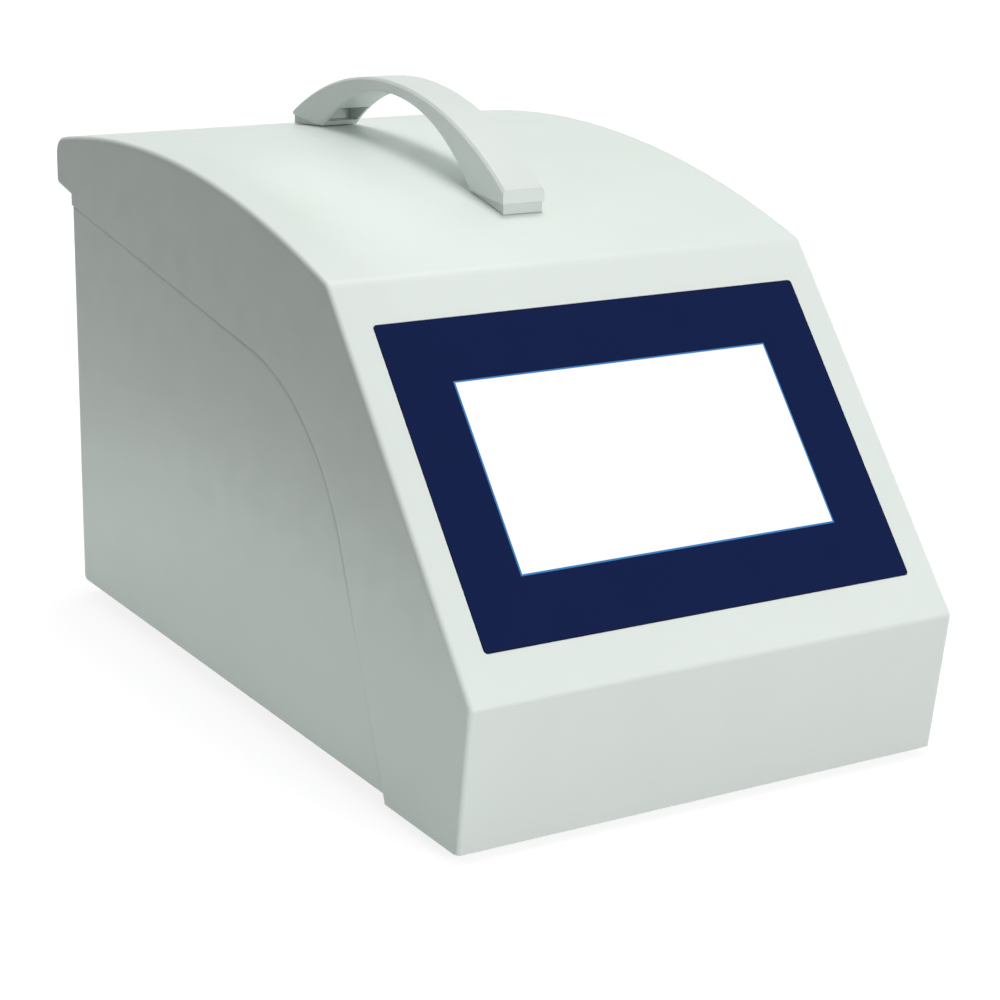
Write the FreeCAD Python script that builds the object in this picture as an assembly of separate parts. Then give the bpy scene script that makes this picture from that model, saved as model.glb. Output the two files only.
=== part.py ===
import FreeCAD, Part
import math
import os

V = FreeCAD.Vector
AXIS_X = V(1, 0, 0)
AXIS_Y = V(0, 1, 0)
AXIS_Z = V(0, 0, 1)

# Bench filter integrity tester. Millimetres, +Z up, front faces -Y, the operator's right is +X.
# The origin is the middle of the footprint, at the level of the surface that the feet stand on.

# Case outline, seen from the side; distances along Y are counted back from the front fold
BODY_WIDTH = 236.0
BODY_DEPTH = 404.5
FOLD_HEIGHT = 66.0
FRONT_UNDERCUT = 8.3
SLANT_LENGTH = 183.3
SLANT_ANGLE = 50.55
CROWN_SETBACK = 184.5
CROWN_RISE = 29.9
LIP_OVERHANG = 19.5
LIP_HEIGHT = 22.0
LIP_UNDERSIDE_DROP = 4.0
LIP_GAP = 0.3
FOOT_HEIGHT = 8.5
SKIRT_DROP = 4.9

# Seam between cover and base: a gentle slope from the rear, one bend, then a steep leg to the bottom
SEAM_REAR_HEIGHT = 198.0
SEAM_SLOPE = 8.8
SEAM_FOOT_SETBACK = 66.0
SEAM_LEG_ANGLE = 69.0
SEAM_RADIUS = 104.0
SEAM_GAP = 0.5
SEAM_OVERLAP = 10.0

# Walls and roundings of the two mouldings
COVER_WALL = 3.0
BASE_WALL = 3.0
BASE_SIDE_STEP = 1.8
LAP_CLEARANCE = 0.4
LAP_WALL = 2.4
SIDE_BEVEL = 2.6
FOLD_ROUND = 3.2
BROW_ROUND = 8.0
LIP_TOP_ROUND = 9.0
LIP_BOTTOM_ROUND = 3.2
BASE_BOTTOM_ROUND = 2.0
TOP_RIB_HEIGHT = 8.0
TOP_RIB_THICKNESS = 2.0
TOP_RIB_SETBACKS = (132.0, 262.0, 378.0)

# Overrun of a cut past the face it opens, and how close a point counts as on a line
CUT_MARGIN = 1.0
TOUCH = 0.001

# Clearances shared by every fit
SEAT_GAP = 0.05
SCREW_CLEARANCE = 0.25
RUNNING_CLEARANCE = 0.05
SLIDE_CLEARANCE = 0.3

# Bosses that hold the cover: two on the base's floor at the front, two lugs inside the rear frame
COVER_BOSS_SIDE = 10.0
COVER_BOSS_HEIGHT = 26.0
COVER_BOSS_INSET = 22.0
COVER_BOSS_SETBACK = 26.0
RIB_THICKNESS = 2.5
HANGER_INSET = 38.0
HANGER_WIDTH = 16.0
HANGER_DEPTH = 12.0
HANGER_DROP = 6.0

# Rear frame of the base and the steel panel let into it
FRAME_DEPTH = 8.0
FRAME_TOP = 207.0
FRAME_BORDER_SIDE = 10.0
FRAME_BORDER_BOTTOM = 12.0
FRAME_BORDER_TOP = 16.0
PANEL_SUNK = 2.0
PANEL_THICKNESS = 2.0
PANEL_GAP = 0.4
PANEL_LEDGE = 7.0
PANEL_CORNER = 3.0

# Feet
FOOT_RADIUS = 10.0
FOOT_INSET = 26.0
FOOT_FRONT_SETBACK = 52.0
FOOT_REAR_SETBACK = 352.0

# Air intake slots in the bottom
INTAKE_SLOTS = 7
INTAKE_SLOT_WIDTH = 3.0
INTAKE_SLOT_LENGTH = 46.0
INTAKE_PITCH = 7.0
INTAKE_SETBACK = 190.0

# Carrying handle: a crescent bow on two pads, running front to rear
HANDLE_WIDTH = 21.0
HANDLE_FRONT_SETBACK = 159.0
HANDLE_LENGTH = 201.0
HANDLE_CROWN_SETBACK = 270.0
HANDLE_TOP = 266.5
HANDLE_CROWN_THICKNESS = 5.9
HANDLE_FOOT_LENGTH = 29.5
HANDLE_FOOT_LIFT = 0.5
HANDLE_FRONT_END_HEIGHT = 6.0
HANDLE_REAR_END_HEIGHT = 2.6
HANDLE_EDGE_BEVEL = 1.2
HANDLE_INNER_CROWN_OFFSET = 5.0
HANDLE_POCKET_WALL = 2.5
HANDLE_POCKET_HEIGHT = 8.0
HANDLE_POCKET_DEPTH = 5.0
HANDLE_PAD_INSET = 0.6
HANDLE_PAD_SHORTFALL = 4.0
HANDLE_PAD_GAP = 0.3
HANDLE_SEAT_SIDE = 16.0
HANDLE_SEAT_HEIGHT = 4.0

# Display on the slanted front; its own frame has X across, Y up the slant and Z out of the face
BEZEL_WIDTH = 207.3
BEZEL_HEIGHT = 141.9
BEZEL_LOWER_MARGIN = 21.0
BEZEL_THICKNESS = 1.5
BEZEL_PROUD = 0.3
BEZEL_CORNER = 1.5
BEZEL_GAP = 0.3
WINDOW_WIDTH = 154.4
WINDOW_HEIGHT = 85.9
GLASS_SINK = 0.2
GLASS_MARGIN = 6.0
GLASS_THICKNESS = 2.0
GLASS_GAP = 0.15
LCD_THICKNESS = 7.0
HOUSING_FLANGE = 3.5
HOUSING_FLANGE_INSET = 1.0
HOUSING_WIDTH = 184.0
HOUSING_HEIGHT = 112.0
HOUSING_DEPTH = 30.0
HOUSING_WALL = 2.5
HOUSING_FINS = 9
HOUSING_FIN_DEPTH = 1.2
PAD_MARGIN = 4.0
PAD_THICKNESS = 4.0
CLAMP_WIDTH = 12.0
CLAMP_THICKNESS = 4.0
CLAMP_REACH = 9.0
CLAMP_SPREAD = 60.0
DISPLAY_PORT_RISE = 60.0
CABLE_WIDTH = 14.0
CABLE_THICKNESS = 1.2
CABLE_BEND = 14.0

# Tray over the base's floor, which carries everything inside
TRAY_SIDE_ROOM = 12.2
TRAY_REAR_ROOM = 43.0
TRAY_SETBACK = 84.0
TRAY_THICKNESS = 1.5
TRAY_LIP = 10.0
TRAY_POST_INSET = 8.0
TRAY_POST_SIDE = 9.0
TRAY_POST_HEIGHT = 5.0

# Power supply
SUPPLY_INSET = 51.0
SUPPLY_WIDTH = 96.0
SUPPLY_LENGTH = 82.0
SUPPLY_HEIGHT = 36.0
SUPPLY_SETBACK = 204.0
SUPPLY_WALL = 1.2
SUPPLY_VENTS = 6
SUPPLY_VENT_PITCH = 9.0
SUPPLY_VENT_LENGTH = 48.0
SUPPLY_VENT_WIDTH = 3.0
TERMINAL_WIDTH = 44.0
TERMINAL_DEPTH = 12.0
TERMINAL_HEIGHT = 14.0

# Main board
BOARD_INSET = 46.0
BOARD_WIDTH = 86.0
BOARD_LENGTH = 100.0
BOARD_THICKNESS = 1.6
BOARD_SETBACK = 92.0
BOARD_LIFT = 8.0
STANDOFF_INSET = 5.0
STANDOFF_SIDE = 6.0
HEADER_SETBACK = 110.0
HEADER_HEIGHT = 8.0
HEADER_WIDTH = 18.0
HEADER_LENGTH = 6.0
CHIP_SIDE = 16.0
CHIP_HEIGHT = 2.2
RELAY_WIDTH = 15.0
RELAY_LENGTH = 19.0
RELAY_HEIGHT = 15.0
STRIP_WIDTH = 10.0
STRIP_LENGTH = 40.0
STRIP_HEIGHT = 10.0

# Pneumatic block with its valves and sensors; ports stand in line with the rear fittings
BLOCK_WIDTH = 72.0
BLOCK_LENGTH = 52.0
BLOCK_HEIGHT = 30.0
BLOCK_SETBACK = 236.0
PORT_PITCH = 25.0
PORT_ROW_SETBACK = 276.0
VALVE_ROW_SETBACK = 252.0
VALVE_SIDE = 21.0
VALVE_HEIGHT = 34.0
VALVE_NUT_RADIUS = 7.0
VALVE_NUT_HEIGHT = 3.0
SENSOR_NUT_RADIUS = 7.0
SENSOR_SIDE = 12.0
SENSOR_LENGTH = 14.0
SENSOR_SPREAD = 52.0
STUB_RADIUS = 4.5
STUB_LENGTH = 8.0
STUB_NUT_HEIGHT = 4.0
ELBOW_SIDE = 12.0

# Reference volume, a steel canister on two cradles
TANK_RADIUS = 20.0
TANK_LENGTH = 110.0
TANK_WALL = 1.5
TANK_SETBACK = 90.0
TANK_LIFT = 2.0
CRADLE_WIDTH = 34.0
CRADLE_THICKNESS = 10.0
CRADLE_HEIGHT = 12.0
CRADLE_INSET = 25.0

# Tubes and leads
TUBE_RADIUS = 3.0
LEAD_RADIUS = 1.2

# Rear fittings, in a row over the pneumatic block: gas in, gas out, vent
FITTING_HEIGHT = 62.0
FITTING_INSET = 19.6
FITTING_STEM_RADIUS = 6.0
FITTING_STEM_LENGTH = 14.0
FITTING_FLANGE_RADIUS = 9.5
FITTING_FLANGE_THICKNESS = 4.0
FITTING_BODY_RADIUS = 8.0
FITTING_BODY_LENGTH = 9.0
TUBE_SOCKET_RADIUS = 4.1
TUBE_SOCKET_DEPTH = 12.0
COLLET_RADIUS = 6.0
COLLET_BORE_RADIUS = 4.3
COLLET_LENGTH = 6.0
COLLET_TRAVEL = 1.5
COUPLER_NOSE_RADIUS = 6.5
COUPLER_NOSE_LENGTH = 14.0
COUPLER_SOCKET_RADIUS = 4.0
COUPLER_SOCKET_DEPTH = 12.0
SLEEVE_RADIUS = 9.5
SLEEVE_LENGTH = 9.0
VENT_RADIUS = 6.5
VENT_LENGTH = 12.0

# Mains inlet with fuse drawer and rocker, in one module
INLET_INSET = 39.6
INLET_Z = 62.0
INLET_FLANGE_WIDTH = 50.0
INLET_FLANGE_HEIGHT = 62.0
INLET_FLANGE_THICKNESS = 3.0
INLET_CORNER = 3.0
INLET_BODY_WIDTH = 44.0
INLET_BODY_HEIGHT = 54.0
INLET_BODY_DEPTH = 27.0
SOCKET_WIDTH = 24.4
SOCKET_HEIGHT = 16.8
SOCKET_DEPTH = 17.0
SOCKET_DROP = 17.0
SOCKET_CORNER = 4.0
PIN_WIDTH = 2.0
PIN_HEIGHT = 4.0
PIN_LENGTH = 13.0
PIN_TAIL = 8.0
PIN_SPREAD = 7.0
EARTH_RAISE = 4.0
LIVE_DROP = 1.0
DRAWER_DROP = 1.0
DRAWER_WIDTH = 27.0
DRAWER_HEIGHT = 8.0
DRAWER_DEPTH = 22.0
DRAWER_WALL = 1.0
DRAWER_LIP = 1.5
FUSE_RADIUS = 2.5
FUSE_LENGTH = 20.0
ROCKER_RAISE = 18.0
ROCKER_WIDTH = 22.0
ROCKER_HEIGHT = 15.0
ROCKER_PROUD = 2.0
ROCKER_THICKNESS = 6.0
ROCKER_TILT = 7.0
ROCKER_FOOT_SHARE = 0.8
ROCKER_PIVOT_DEPTH = 2.5
ROCKER_PIN_RADIUS = 1.5
ROCKER_PIN_LENGTH = 1.6
ROCKER_BAY_DEPTH = 14.0

# Fan behind a slotted grille in the panel
FAN_INSET = 52.6
FAN_Z = 142.0
FAN_SIZE = 60.0
FAN_DEPTH = 15.0
FAN_BORE_RADIUS = 28.5
FAN_HUB_RADIUS = 12.0
FAN_HUB_DEPTH = 9.0
FAN_TIP_GAP = 1.0
FAN_BLADES = 5
FAN_BLADE_THICKNESS = 1.2
FAN_BLADE_CHORD = 15.0
FAN_PITCH = 38.0
FAN_SHAFT_RADIUS = 1.5
FAN_PLATE_SIDE = 20.0
FAN_PLATE_THICKNESS = 3.0
FAN_STRUTS = 4
FAN_STRUT_WIDTH = 3.0
GRILLE_RADIUS = 27.0
GRILLE_SLOT = 3.4
GRILLE_PITCH = 6.4

# Data ports
SERIAL_INSET = 72.6
PORT_ROW_Z = 122.0
SERIAL_FLANGE_WIDTH = 31.0
SERIAL_FLANGE_HEIGHT = 12.6
SERIAL_FLANGE_THICKNESS = 1.2
SERIAL_SHELL_WIDTH = 17.0
SERIAL_SHELL_HEIGHT = 8.4
SERIAL_SHELL_SLANT = 1.5
SERIAL_SHELL_LENGTH = 6.0
SERIAL_SHELL_WALL = 0.8
SERIAL_BODY_DEPTH = 12.0
SERIAL_POST_SPREAD = 25.0
SERIAL_POST_RADIUS = 2.4
SERIAL_POST_LENGTH = 5.0
USB_INSET = 26.6
USB_WIDTH = 14.5
USB_HEIGHT = 7.2
USB_SLOT_WIDTH = 12.6
USB_SLOT_HEIGHT = 5.2
USB_DEPTH = 16.0
USB_SLOT_DEPTH = 12.0
USB_PROUD = 0.8
USB_TONGUE_WIDTH = 11.0
USB_TONGUE_THICKNESS = 1.8


def front_y(setback):
    """Y of a point that lies this far behind the front fold."""
    return setback - BODY_DEPTH / 2


SKIRT_BOTTOM = FOOT_HEIGHT - SKIRT_DROP
BASE_BOTTOM = FOOT_HEIGHT
BASE_FLOOR = BASE_BOTTOM + BASE_WALL
HALF_WIDTH = BODY_WIDTH / 2
GLASS_WIDTH = WINDOW_WIDTH + 2 * GLASS_MARGIN
GLASS_HEIGHT = WINDOW_HEIGHT + 2 * GLASS_MARGIN
SLANT_RUN = SLANT_LENGTH * math.cos(math.radians(SLANT_ANGLE))
SLANT_RISE = SLANT_LENGTH * math.sin(math.radians(SLANT_ANGLE))
BROW_HEIGHT = FOLD_HEIGHT + SLANT_RISE
TOP_RADIUS = (CROWN_SETBACK ** 2 + CROWN_RISE ** 2) / (2 * CROWN_RISE)
CROWN_Y = front_y(SLANT_RUN + CROWN_SETBACK)
TOP_CENTRE_Z = BROW_HEIGHT + CROWN_RISE - TOP_RADIUS
LIP_REAR_Y = front_y(BODY_DEPTH)
BASE_REAR_Y = LIP_REAR_Y - LIP_OVERHANG
PANEL_FACE_Y = BASE_REAR_Y - PANEL_SUNK
PANEL_BACK_Y = PANEL_FACE_Y - PANEL_THICKNESS
TRAY_TOP = BASE_FLOOR + TRAY_POST_HEIGHT + TRAY_THICKNESS
BOARD_TOP = TRAY_TOP + BOARD_LIFT + BOARD_THICKNESS
BLOCK_TOP = TRAY_TOP + BLOCK_HEIGHT
TANK_Z = TRAY_TOP + TANK_LIFT + TANK_RADIUS
LAP_OUTER = HALF_WIDTH - COVER_WALL - LAP_CLEARANCE
PANEL_HALF_WIDTH = LAP_OUTER - FRAME_BORDER_SIDE
TRAY_HALF_WIDTH = LAP_OUTER - LAP_WALL - TRAY_SIDE_ROOM
TRAY_REAR_Y = BASE_REAR_Y - FRAME_DEPTH - TRAY_REAR_ROOM

# Middle lines of what stands on the tray and of what goes through the panel, counted in from their edges
SUPPLY_X = SUPPLY_INSET - TRAY_HALF_WIDTH
BOARD_X = BOARD_INSET - TRAY_HALF_WIDTH
BLOCK_X = PANEL_HALF_WIDTH - FITTING_INSET - PORT_PITCH
INLET_X = INLET_INSET - PANEL_HALF_WIDTH
FAN_X = FAN_INSET - PANEL_HALF_WIDTH
SERIAL_X = PANEL_HALF_WIDTH - SERIAL_INSET
USB_X = PANEL_HALF_WIDTH - USB_INSET


def top_height(y, depth=0.0):
    """Height of the crowned top at Y, or of a surface that lies this deep under it."""
    radius = TOP_RADIUS - depth
    return TOP_CENTRE_Z + math.sqrt(radius ** 2 - (y - CROWN_Y) ** 2)


# Small shape helpers
def box(x0, x1, y0, y1, z0, z1):
    return Part.makeBox(x1 - x0, y1 - y0, z1 - z0, V(x0, y0, z0))


def block(width, height, z0, z1, x=0.0, y=0.0):
    """A box centred on x, y and standing from z0 to z1."""
    return box(x - width / 2, x + width / 2, y - height / 2, y + height / 2, z0, z1)


def rod(radius, start, axis, length):
    return Part.makeCylinder(radius, length, start, axis)


def group(shapes):
    """Separate solids that share one node."""
    return Part.makeCompound(list(shapes))


def line(a, b):
    return Part.LineSegment(a, b).toShape()


def arc(a, middle, b):
    return Part.Arc(a, middle, b).toShape()


def across(edges, x0, x1):
    """A flat outline in a plane of constant X, carried from x0 to x1."""
    face = Part.Face(Part.Wire(edges))
    face.translate(V(x0, 0, 0))
    return face.extrude(V(x1 - x0, 0, 0))


def polygon_across(points, x0, x1):
    corners = [V(0, y, z) for y, z in points]
    edges = [line(a, b) for a, b in zip(corners, corners[1:] + corners[:1])]
    return across(edges, x0, x1)


def on_slant(shape):
    """Moves a shape from the display's own frame to the slanted front."""
    placed = shape.copy()
    placed.rotate(V(0, 0, 0), AXIS_X, SLANT_ANGLE)
    placed.translate(V(0, front_y(0), FOLD_HEIGHT))
    return placed


def rounded_block(width, height, z0, z1, radius, x=0.0, y=0.0):
    body = block(width, height, z0, z1, x, y)
    upright = [e for e in body.Edges if abs(e.Vertexes[0].Z - e.Vertexes[1].Z) > 1e-6]
    return body.makeFillet(radius, upright)


def round_cross_edges(shape, spots):
    """Rounds the edges that run along X through the given (y, z) spots, each with its own radius."""
    for y, z, radius in spots:
        picked = []
        for edge in shape.Edges:
            ends = [vertex.Point for vertex in edge.Vertexes]
            if all(abs(end.y - y) < TOUCH and abs(end.z - z) < TOUCH for end in ends):
                picked.append(edge)
        shape = shape.makeFillet(radius, picked)
    return shape


# Case
def seam_points(shift=0.0):
    """The seam's corners from the rear end to the bottom; shift moves it forwards, square to itself."""
    slope = math.radians(SEAM_SLOPE)
    leg = math.radians(SEAM_LEG_ANGLE)
    rear = V(0, BASE_REAR_Y, SEAM_REAR_HEIGHT) + V(0, -math.sin(slope), math.cos(slope)) * shift
    foot = V(0, front_y(SEAM_FOOT_SETBACK), SKIRT_BOTTOM) + V(0, -math.sin(leg), math.cos(leg)) * shift
    run = V(0, math.cos(slope), math.sin(slope))
    rise = V(0, math.cos(leg), math.sin(leg))
    between = rear - foot
    along_leg = (between.y * run.z - between.z * run.y) / (rise.y * run.z - rise.z * run.y)
    corner = foot + rise * along_leg
    turn = leg - slope
    radius = SEAM_RADIUS + shift
    reach = radius * math.tan(turn / 2)
    bend_rear = corner + run * reach
    bend_foot = corner - rise * reach
    inward = run - rise
    inward.normalize()
    bend_middle = corner + inward * (radius / math.cos(turn / 2) - radius)
    return rear, bend_rear, bend_middle, bend_foot, foot, run, rise


def seam_edges(shift, rear_y, bottom_z):
    """The seam as line, bend and line, ending at the given rear Y and bottom Z."""
    rear, bend_rear, bend_middle, bend_foot, foot, run, rise = seam_points(shift)
    rear_end = rear + run * ((rear_y - rear.y) / run.y)
    foot_end = foot + rise * ((bottom_z - foot.z) / rise.z)
    edges = [line(rear_end, bend_rear), arc(bend_rear, bend_middle, bend_foot), line(bend_foot, foot_end)]
    return edges, rear_end, foot_end


def cover_envelope():
    """The cover's outside as one closed solid."""
    bottom = V(0, front_y(FRONT_UNDERCUT), SKIRT_BOTTOM)
    fold = V(0, front_y(0), FOLD_HEIGHT)
    brow = V(0, front_y(SLANT_RUN), BROW_HEIGHT)
    crown = V(0, CROWN_Y, top_height(CROWN_Y))
    rear_top = V(0, LIP_REAR_Y, top_height(LIP_REAR_Y))
    lip_bottom = rear_top - V(0, 0, LIP_HEIGHT)
    throat = V(0, BASE_REAR_Y + LIP_GAP, lip_bottom.z - LIP_UNDERSIDE_DROP)
    seam, seam_rear, seam_foot = seam_edges(0.0, throat.y, SKIRT_BOTTOM)
    edges = [line(bottom, fold), line(fold, brow), arc(brow, crown, rear_top), line(rear_top, lip_bottom)]
    edges += [line(lip_bottom, throat), line(throat, seam_rear)] + seam + [line(seam_foot, bottom)]
    body = across(edges, -HALF_WIDTH, HALF_WIDTH)
    spots = [
        (fold.y, fold.z, FOLD_ROUND),
        (brow.y, brow.z, BROW_ROUND),
        (rear_top.y, rear_top.z, LIP_TOP_ROUND),
        (lip_bottom.y, lip_bottom.z, LIP_BOTTOM_ROUND),
    ]
    body = round_cross_edges(body, spots)
    return bevel_sides(body)


def bevel_sides(body):
    """Bevels the cover's long side edges, apart from those of the seam and the open bottom."""
    seam_line, rear_end, foot_end = seam_edges(0.0, BASE_REAR_Y + LIP_GAP, SKIRT_BOTTOM)
    picked = []
    for edge in body.Edges:
        middle = edge.valueAt((edge.FirstParameter + edge.LastParameter) / 2)
        on_side = abs(abs(middle.x) - HALF_WIDTH) < TOUCH
        in_plane = abs(edge.Vertexes[0].X - edge.Vertexes[-1].X) < TOUCH
        if not on_side or not in_plane or middle.z < foot_end.z + TOUCH:
            continue
        flat = Part.Vertex(V(0, middle.y, middle.z))
        if min(flat.distToShape(piece)[0] for piece in seam_line) < TOUCH:
            continue
        if abs(middle.y - rear_end.y) < TOUCH and middle.z > rear_end.z:
            continue
        picked.append(edge)
    return body.makeChamfer(SIDE_BEVEL, picked)


def cover_hollow(wall, lift=0.0):
    """The space under the cover's skin, open at the bottom; lift lowers its roof for a rib's lower edge."""
    slant = math.radians(SLANT_ANGLE)
    lean = math.atan2(FRONT_UNDERCUT, FOLD_HEIGHT - SKIRT_BOTTOM)
    y_fold, y_brow = front_y(0), front_y(SLANT_RUN)
    # The fold's and brow's inner corners are where the offset lines of the neighbouring faces cross
    front_normal = V(0, math.cos(lean), math.sin(lean))
    slant_normal = V(0, math.sin(slant), -math.cos(slant))
    fold = V(0, y_fold, FOLD_HEIGHT) + corner_offset(front_normal, slant_normal, wall)
    floor_z = SKIRT_BOTTOM - wall
    bottom_y = fold.y + (fold.z - floor_z) * math.tan(lean)
    radius = TOP_RADIUS - wall - lift
    brow = slant_meets_roof(fold, slant, radius)
    crown = V(0, CROWN_Y, TOP_CENTRE_Z + radius)
    rear_y = LIP_REAR_Y - wall
    rear_top = V(0, rear_y, top_height(rear_y, wall + lift))
    lip_z = top_height(LIP_REAR_Y) - LIP_HEIGHT
    fall = math.atan2(LIP_UNDERSIDE_DROP, LIP_OVERHANG - LIP_GAP)
    lip_inner = V(0, rear_y, lip_z - wall * math.tan(fall) + wall / math.cos(fall))
    throat_y = BASE_REAR_Y + LIP_GAP
    throat = V(0, throat_y, lip_inner.z - (rear_y - throat_y) * math.tan(fall))
    low_rear = V(0, throat_y, floor_z)
    low_front = V(0, bottom_y, floor_z)
    edges = [line(low_front, fold), line(fold, brow), arc(brow, crown, rear_top), line(rear_top, lip_inner)]
    edges += [line(lip_inner, throat), line(throat, low_rear), line(low_rear, low_front)]
    body = across(edges, -HALF_WIDTH + wall, HALF_WIDTH - wall)
    if lift:
        return body
    spots = [(brow.y, brow.z, BROW_ROUND - wall), (rear_top.y, rear_top.z, LIP_TOP_ROUND - wall)]
    return round_cross_edges(body, spots)


def corner_offset(normal_a, normal_b, distance):
    """Shift of a corner between two faces when both move by the distance along their normals."""
    total = normal_a + normal_b
    return total * (distance / (1 + normal_a.dot(normal_b)))


def slant_meets_roof(start, slant, radius):
    """Where the line up the slant from start meets the roof's circle."""
    run = V(0, math.cos(slant), math.sin(slant))
    offset = start - V(0, CROWN_Y, TOP_CENTRE_Z)
    half = offset.dot(run)
    reach = -half + math.sqrt(half ** 2 - offset.dot(offset) + radius ** 2)
    if (start + run * reach).y > CROWN_Y:
        reach = -half - math.sqrt(half ** 2 - offset.dot(offset) + radius ** 2)
    return start + run * reach


def top_ribs(hollow):
    """Ribs across the underside of the top."""
    lowered = cover_hollow(COVER_WALL, TOP_RIB_HEIGHT)
    ribs = []
    for setback in TOP_RIB_SETBACKS:
        y = front_y(setback)
        slab = box(-HALF_WIDTH, HALF_WIDTH, y, y + TOP_RIB_THICKNESS, FOLD_HEIGHT, HANDLE_TOP)
        ribs.append(slab.common(hollow).cut(lowered))
    return ribs


def cover_bosses():
    """Two square bosses behind the front face, each with a web to the side wall."""
    bosses = []
    top = BASE_FLOOR + COVER_BOSS_HEIGHT
    for side in (-1, 1):
        x = side * (HALF_WIDTH - COVER_BOSS_INSET)
        y = front_y(COVER_BOSS_SETBACK)
        wall_x = side * (HALF_WIDTH - COVER_WALL)
        post = block(COVER_BOSS_SIDE, COVER_BOSS_SIDE, BASE_FLOOR, top, x, y)
        web = box(min(x, wall_x), max(x, wall_x), y - RIB_THICKNESS / 2, y + RIB_THICKNESS / 2,
                  top - COVER_BOSS_HEIGHT / 2, top)
        bosses.append(post.fuse(web))
    return bosses


def rear_hangers(hollow):
    """Two lugs that hang from the top, close in front of the rear frame."""
    lugs = []
    rear_y = BASE_REAR_Y - FRAME_DEPTH
    low = (panel_top() + FRAME_TOP) / 2 - HANGER_DROP
    for side in (-1, 1):
        x = side * (HALF_WIDTH - HANGER_INSET)
        lug = box(x - HANGER_WIDTH / 2, x + HANGER_WIDTH / 2, rear_y - HANGER_DEPTH, rear_y, low, HANDLE_TOP)
        lugs.append(lug.common(hollow))
    return lugs


def handle_foot_spots():
    """Y of the middle of each handle foot."""
    front = front_y(HANDLE_FRONT_SETBACK + HANDLE_FOOT_LENGTH / 2)
    rear = front_y(HANDLE_FRONT_SETBACK + HANDLE_LENGTH - HANDLE_FOOT_LENGTH / 2)
    return front, rear


def handle_seats(hollow):
    """Flat-bottomed bosses under the skin, below each handle foot."""
    seats = []
    for y in handle_foot_spots():
        low = top_height(y, COVER_WALL) - HANDLE_SEAT_HEIGHT
        seats.append(block(HANDLE_SEAT_SIDE, HANDLE_SEAT_SIDE, low, HANDLE_TOP, 0.0, y).common(hollow))
    return seats


def bezel_centre():
    return BEZEL_LOWER_MARGIN + BEZEL_HEIGHT / 2


def display_pocket():
    """The recess for the display's flange and the opening behind it, in the display's frame."""
    s = bezel_centre()
    ledge = -display_depth()
    recess = rounded_block(BEZEL_WIDTH + 2 * BEZEL_GAP, BEZEL_HEIGHT + 2 * BEZEL_GAP, ledge, CUT_MARGIN,
                           BEZEL_CORNER + BEZEL_GAP, 0.0, s)
    opening = block(HOUSING_WIDTH + 2 * SLIDE_CLEARANCE, HOUSING_HEIGHT + 2 * SLIDE_CLEARANCE,
                    ledge - PAD_THICKNESS - CUT_MARGIN, ledge + CUT_MARGIN, 0.0, s)
    return on_slant(recess.fuse(opening))


def display_backing():
    """The thick frame moulded behind the slant, which the display's flange bears on."""
    return on_slant(block(BEZEL_WIDTH + 2 * PAD_MARGIN, BEZEL_HEIGHT + 2 * PAD_MARGIN,
                          -display_depth() - PAD_THICKNESS, -COVER_WALL / 2, 0.0, bezel_centre()))


def front_cover():
    """Moulded cover: skirts, front face, slant, crowned top and rear lip in one shell."""
    hollow = cover_hollow(COVER_WALL)
    shell = cover_envelope().cut(hollow)
    extras = top_ribs(hollow) + cover_bosses() + rear_hangers(hollow) + handle_seats(hollow)
    extras.append(display_backing())
    return shell.fuse(extras).cut(display_pocket()).removeSplitter()


def base_side_wall(side):
    """One side wall with its lap tongue, which slides up behind the cover's skirt."""
    outer = HALF_WIDTH - BASE_SIDE_STEP
    corner = V(0, BASE_REAR_Y, BASE_BOTTOM)
    seam, rear_end, foot_end = seam_edges(-SEAM_GAP, BASE_REAR_Y, BASE_BOTTOM)
    wall = across(seam + [line(foot_end, corner), line(corner, rear_end)], outer - BASE_WALL, outer)
    lap, rear_end, foot_end = seam_edges(SEAM_OVERLAP, BASE_REAR_Y, BASE_BOTTOM)
    tongue = across(lap + [line(foot_end, corner), line(corner, rear_end)], LAP_OUTER - LAP_WALL, LAP_OUTER)
    whole = wall.fuse(tongue)
    if side < 0:
        whole = whole.mirror(V(0, 0, 0), AXIS_X)
    return whole


def panel_bottom():
    return BASE_BOTTOM + FRAME_BORDER_BOTTOM


def panel_top():
    return FRAME_TOP - FRAME_BORDER_TOP


def panel_outline(grow, y0, y1):
    """A rounded slab on the rear panel's outline, larger by grow all round, from y0 to y1."""
    width = 2 * (PANEL_HALF_WIDTH + grow)
    height = panel_top() - panel_bottom() + 2 * grow
    slab = rounded_block(width, height, 0, y1 - y0, PANEL_CORNER)
    slab.rotate(V(0, 0, 0), AXIS_X, 90)
    slab.translate(V(0, y1, (panel_top() + panel_bottom()) / 2))
    return slab


def rear_frame():
    """The base's rear wall: a deep frame with a recess for the panel and a window inside it."""
    slab = box(-LAP_OUTER, LAP_OUTER, BASE_REAR_Y - FRAME_DEPTH, BASE_REAR_Y, BASE_BOTTOM, FRAME_TOP)
    recess = panel_outline(PANEL_GAP, PANEL_BACK_Y, BASE_REAR_Y + CUT_MARGIN)
    window = panel_outline(-PANEL_LEDGE, BASE_REAR_Y - 2 * FRAME_DEPTH, BASE_REAR_Y)
    return slab.cut(recess).cut(window)


def foot_spots():
    return [(side * (HALF_WIDTH - FOOT_INSET), front_y(setback)) for side in (-1, 1)
            for setback in (FOOT_FRONT_SETBACK, FOOT_REAR_SETBACK)]


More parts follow.
